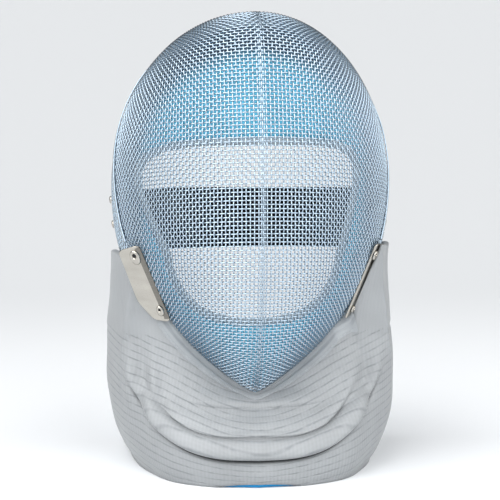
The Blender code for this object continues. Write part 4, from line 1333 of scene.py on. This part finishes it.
def velour(name, light, border):
    """Brushed nylon loop over foam: a soft bright blue with a pale bloom where it turns away, and, where U is
    above zero, painted navy shade for the padding's darker edges."""
    material, tree, shader = new_material(
        name, {"Roughness": 0.9, "Sheen Weight": 0.5, "Sheen Roughness": 0.35, "Specular IOR Level": 0.2}
    )
    place = piece_place(tree)
    # The loops of the pile are drawn about 1.5 mm across.
    pile = add_node(tree, "TexVoronoi", {"Scale": 650.0}, {"Vector": place})
    mixed = work_out(tree, "MULTIPLY_ADD", (pile, "Distance"), 0.25, noise(tree, place, 55.0, 5.0))
    middle, rim = (
        colour_ramp(tree, mixed, shade(colour, 0.7), colour, (0.35, 0.8)) for colour in (light, border)
    )
    parts = add_node(tree, "SeparateXYZ", (), {"Vector": piece_place(tree, "UV")})
    edge = map_range(tree, (parts, "X"), 0.0, 1.0, -0.008, 0.004)
    # Beyond the bright middle the colour fades to navy: painted shade.
    both = add_node(tree, "MixRGB", (), {"Fac": edge, "Color1": middle, "Color2": rim}), "Color"
    dress_shader(tree, shader, {"Base Color": both}, (mixed, 0.5, 0.0005))
    return material


class MASK_OT_padding(Operator):
    """Make the padded ring round the face opening, with its binding"""

    bl_idname = "mask.padding"
    bl_label = "Padding"

    def execute(self, context):
        settings = context.scene.mask_cloth
        way = np.arange(200) * 2 * math.pi / 200
        opening = opening_reach(way)
        start = opening + 2 * BINDING_RADIUS + GAP
        loops = []
        for t in np.linspace(0, 2 * math.pi, 33)[:-1]:
            # The section's edges pull in, and its middle is full.
            across = 0.5 - 0.5 * math.copysign(abs(math.cos(t)) ** PAD_SQUARE_ACROSS, math.cos(t))
            thick = math.copysign(abs(math.sin(t)) ** PAD_SQUARE_THICK, math.sin(t))
            reach = start + (pad_reach(way, thick * PAD_HALF_THICK) - start) * (PAD_INSET * across)
            crease = 0.0008 * np.sin(26 * way + 1.1) * math.sin(math.pi * across) + 0.0007 * np.sin(9 * way)
            loops.append(pad_point(way, reach, thick * (PAD_HALF_THICK - PAD_SHRINK) + crease))
        loops = np.stack(loops, 1)
        # U is the distance beyond the bright middle of the padding, a circle above and straight sides below;
        # beyond it the colour is painted shade.
        x, z = np.abs(loops[..., 0]), loops[..., 2]
        beyond = np.where(
            z > PAD_FACE_MIDDLE,
            np.hypot(x, z - PAD_FACE_MIDDLE) - PAD_FACE_RADIUS,
            x - np.minimum(PAD_FACE_HALF, 0.030 + 0.98 * (z - 0.077)),
        )
        pad = add_piece(
            "face_padding", loops, torus_faces(*loops.shape[:2]),
            [velour("blue_loop_velour_over_foam", settings.pad, settings.border)],
            ("head_pad",), uv=np.stack([beyond, 0 * beyond], -1),
        )
        loops = []
        for k in range(14):
            a = k * 2 * math.pi / 14
            reach = opening + BINDING_RADIUS * (1 + 0.98 * math.cos(a))
            loops.append(pad_point(way, reach, BINDING_RADIUS * 0.98 * math.sin(a)))
        loops = np.stack(loops, 1)
        tape = woven_cloth("binding_tape_cotton_twill", settings.binding, 0.84, 0.0012, 0.85, 0.2)
        faces = torus_faces(*loops.shape[:2])
        add_piece("opening_binding", loops, faces, [tape], ("pad_binding",))
        return {"FINISHED"}


def webbing(settings):
    """Black elastic webbing, woven in narrow cords across its width: nearly black, with fine ridges."""
    material, tree, shader = new_material(
        "black_elastic_webbing", {"Roughness": 0.85, "Specular IOR Level": 0.2}
    )
    parts = add_node(tree, "SeparateXYZ", (), {"Vector": piece_place(tree, "UV")})
    cords = ripple(tree, (parts, "X"), 0.0016)
    picks = ripple(tree, (parts, "Y"), 0.0012)
    weave = work_out(tree, "MULTIPLY_ADD", picks, 0.4, cords)
    tone = map_range(tree, weave, 0.0, 1.0, -1.4, 1.4)
    colour = colour_ramp(tree, tone, shade(settings.strap, 0.6), settings.strap)
    dress_shader(tree, shader, {"Base Color": colour}, (weave, 0.6, 0.0004))
    return material


def strap_points(share, z, inset):
    """The strap's face: on the inside of the rear mesh at its ends, free across the open back."""
    side, near = np.sign(share), np.abs(share)
    y = STRAP_EDGE_Y + (STRAP_END_Y - STRAP_EDGE_Y) * np.maximum(0, near - STRAP_SPAN) / (1 - STRAP_SPAN)
    start = np.stack([0 * y, y, z + 0 * y], -1)
    point = to_dome(start, np.array((1.0, 0, 0)), np.full(y.shape, -(MESH_WALL + INNER_GAP + GAP) - inset))
    across = np.clip(near / STRAP_SPAN, 0, 1)
    point[:, 0] *= across * side
    point[:, 1] += (STRAP_BACK_Y - STRAP_EDGE_Y) * (1 - across**2.5)
    point[:, 1] -= inset * (1 - across)
    return point


class MASK_OT_strap(Operator):
    """Stretch the elastic strap across the open back"""

    bl_idname = "mask.strap"
    bl_label = "Back Strap"

    def execute(self, context):
        share = np.linspace(-1, 1, 121)
        share[60] = 1e-9
        heights = np.linspace(STRAP_LOW_Z, STRAP_HIGH_Z, 25)
        outer, inner = (
            np.stack([strap_points(share, z, inset) for z in heights], 1) for inset in (0.0, STRAP_WALL)
        )
        back = np.array((0, 1.0, 0))
        ridge = 0.00022 * np.cos(np.linspace(0, 2 * math.pi * 12, 25))[None, :, None] * back
        outer = outer - 0.0002 * back + ridge * 0.5
        loops = np.concatenate([outer, inner[:, ::-1]], 1)
        far = length_travelled(outer[:, 12])
        uv = np.stack([far[:, None] + 0 * heights[None, :], heights[None, :] + 0 * far[:, None]], -1)
        strap = add_piece(
            "elastic_back_strap", loops, sleeve(loops), [webbing(context.scene.mask_cloth)],
            ("back_strap",), uv=np.concatenate([uv, uv[:, ::-1]], 1), sharp=50,
        )
        return {"FINISHED"}


# ---------------------------------------------------------------- the stage


class MASK_OT_stage(Operator):
    """Lay the pale floor, set the soft lights and place the camera"""

    bl_idname = "mask.stage"
    bl_label = "Stage"

    def execute(self, context):
        scene = context.scene
        settings = scene.mask_stage
        mesh = bpy.data.meshes.new("floor")
        corners = [(x * FLOOR_REACH, y * FLOOR_REACH, 0) for x, y in ((-1, -1), (1, -1), (1, 1), (-1, 1))]
        mesh.from_pydata(corners, [], [(0, 1, 2, 3)])
        floor = bpy.data.objects.new("floor", mesh)
        scene.collection.objects.link(floor)
        mesh.materials.append(floor_with_painted_shade(settings.floor))
        floor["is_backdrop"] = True
        world = bpy.data.worlds.new("studio")
        world.use_nodes = True
        backing = world.node_tree.nodes["Background"]
        backing.inputs["Color"].default_value = (*linear("F2F6FA"), 1)
        backing.inputs["Strength"].default_value = settings.ambient
        scene.world = world
        look = Vector((-CENTRE[0], -CENTRE[1], LOOK_Z))
        # Name, azimuth, elevation, angle across and strength.
        for name, azimuth, height, across, strength in (
            ("left softbox", -50, 36, 72, settings.left),
            ("right softbox", 52, 32, 72, settings.right),
            ("overhead softbox", -60, 66, 50, settings.overhead),
            ("front fill", 4, 8, 50, settings.fill),
        ):
            lamp = bpy.data.lights.new(name, "SUN")
            lamp.energy = strength
            lamp.angle = math.radians(across)
            place_on_stage(name, lamp, look, direction(azimuth, height), 2)
        lens = bpy.data.cameras.new("camera")
        lens.sensor_width = 36.0
        lens.lens = 138.46
        scene.camera = place_on_stage("camera", lens, look, direction(-4, 8), 1.5)
        scene.view_settings.view_transform = "Standard"
        return {"FINISHED"}


def direction(azimuth, elevation):
    """Unit vector from the mask towards an azimuth, from straight ahead, and an elevation, in degrees."""
    a, e = math.radians(azimuth), math.radians(elevation)
    return Vector((math.sin(a) * math.cos(e), -math.cos(a) * math.cos(e), math.sin(e)))


def place_on_stage(name, data, look, way, distance):
    """A lamp or a camera that looks at the mask from a distance."""
    thing = bpy.data.objects.new(name, data)
    bpy.context.scene.collection.objects.link(thing)
    thing.rotation_mode = "QUATERNION"
    thing.rotation_quaternion = way.to_track_quat("Z", "Y")
    thing.location = look + way * distance
    return thing


def floor_with_painted_shade(colour):
    """Matt pale paper, with painted shade that darkens it from under the mask to behind it."""
    settings = {"Roughness": 0.9, "Specular IOR Level": 0.1}
    material, tree, shader = new_material("pale_matt_floor", settings)
    parts = add_node(tree, "SeparateXYZ", (), {"Vector": piece_place(tree)})
    # Painted shade: the colour falls to 60 percent of itself towards the back.
    sweep = map_range(tree, (parts, "Y"), 0.0, 1.0, -0.3, 0.9, "SMOOTHSTEP")
    dress_shader(tree, shader, {"Base Color": colour_ramp(tree, sweep, colour, shade(colour, 0.60))})
    return material


# ---------------------------------------------------------------- settings, panel and registering


def length_setting(name, description, default):
    """A size in metres."""
    return FloatProperty(name=name, description=description, default=default, unit="LENGTH")


def strength_setting(name, description, default):
    """The strength of a light."""
    return FloatProperty(name=name, description=description, default=default, subtype="UNSIGNED")


def colour_setting(name, description, paint):
    """A colour, from an sRGB hex value."""
    return FloatVectorProperty(name=name, description=description, default=linear(paint), subtype="COLOR")


class MaskWireSettings(PropertyGroup):
    """Sizes and colours of the wire meshes and the steel fittings."""

    wire: length_setting("Wire", "Wire diameter", 0.00108)
    warp_pitch: length_setting("Upright Pitch", "Distance between upright wires", 0.0031)
    weft_pitch: length_setting("Cross Pitch", "Distance between cross wires", 0.0030)
    warp_crimp: length_setting("Crimp", "How far an upright wire stands out at a crossing", 0.00060)
    nose_height: length_setting("Level", "Height of the level cross wire on the ridge", 0.160)
    nose_tilt: FloatProperty(
        name="Tilt", description="Fall of the level cross wire towards the back",
        default=math.radians(8), subtype="ANGLE",
    )
    steel: colour_setting("Wire Colour", "Stainless steel wire", "B6C6D3")
    plate: colour_setting("Plate Colour", "Polished steel plate", "B6B2AA")


class MaskClothSettings(PropertyGroup):
    """Sizes and colours of the cloth, padding and strap."""

    rib_line: FloatProperty(
        name="Rib Line", description="Width of a rib's dark line as a share of the pitch",
        default=0.17, subtype="FACTOR",
    )
    thread_pitch: length_setting("Thread Pitch", "Distance between upright threads", 0.0023)
    bib: colour_setting("Bib", "Conductive cloth", "949799")
    # Painted shade for the rib grooves.
    painted_rib_groove_shade: colour_setting("Rib", "Dark line of a rib", "6B6F73")
    trim: colour_setting("Trim", "Edge tape", "9A9EA1")
    thread: colour_setting("Thread", "Sewing thread", "A8ACB0")
    lining: colour_setting("Lining", "Lining cloth", "1E8FCB")
    pad: colour_setting("Padding", "Padding cloth", "6CCFF2")
    # Painted shade on the padding beyond its bright middle.
    border: colour_setting("Border", "Outer part of the padding", "2E3A4A")
    binding: colour_setting("Binding", "Binding tape", "AFB9C0")
    strap: colour_setting("Strap", "Elastic webbing", "07090E")


class MaskStageSettings(PropertyGroup):
    """Floor colour and strengths of the lights."""

    floor: colour_setting("Floor", "Floor paint", "F0F2F4")
    ambient: strength_setting("Ambient", "Strength of the light from all round", 0.24)
    left: strength_setting("Left", "Strength of the softbox on the left", 3.4)
    right: strength_setting("Right", "Strength of the softbox on the right", 2.9)
    overhead: strength_setting("Overhead", "Strength of the softbox above", 0.7)
    fill: strength_setting("Fill", "Strength of the light beside the camera", 0.08)


STEPS = (
    MASK_OT_stage,
    MASK_OT_wire_front,
    MASK_OT_wire_rear,
    MASK_OT_strips,
    MASK_OT_brackets,
    MASK_OT_bib,
    MASK_OT_trim,
    MASK_OT_lining,
    MASK_OT_padding,
    MASK_OT_strap,
)
SETTINGS = (
    ("mask_wire", MaskWireSettings),
    ("mask_cloth", MaskClothSettings),
    ("mask_stage", MaskStageSettings),
)


class MASK_PT_panel(Panel):
    """The steps of the mask, one button each."""

    bl_idname = "MASK_PT_panel"
    bl_label = "Fencing Mask"
    bl_space_type = "VIEW_3D"
    bl_region_type = "UI"
    bl_category = "Mask"

    def draw(self, context):
        for step in STEPS:
            self.layout.operator(step.bl_idname)
        for name, group in SETTINGS:
            box = self.layout.box()
            for key in group.__annotations__:
                box.prop(getattr(context.scene, name), key)


def register():
    """Add the settings, the steps and the panel."""
    for name, group in SETTINGS:
        bpy.utils.register_class(group)
        setattr(bpy.types.Scene, name, PointerProperty(type=group))
    for step in (*STEPS, MASK_PT_panel):
        bpy.utils.register_class(step)


def unregister():
    """Take the panel, the steps and the settings away again."""
    for step in (MASK_PT_panel, *reversed(STEPS)):
        bpy.utils.unregister_class(step)
    for name, group in SETTINGS:
        delattr(bpy.types.Scene, name)
        bpy.utils.unregister_class(group)


def main():
    """Run every step, and work out how large the CAD and the finished scene are."""
    register()
    for step in STEPS:
        group, name = step.bl_idname.split(".")
        getattr(getattr(bpy.ops, group), name)()
    bpy.context.view_layer.update()
    boxes = {"cad": CAD_BOX, "visual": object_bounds()}
    {name: [list(corner) for corner in box] for name, box in boxes.items()}


if __name__ == "__main__":
    main()
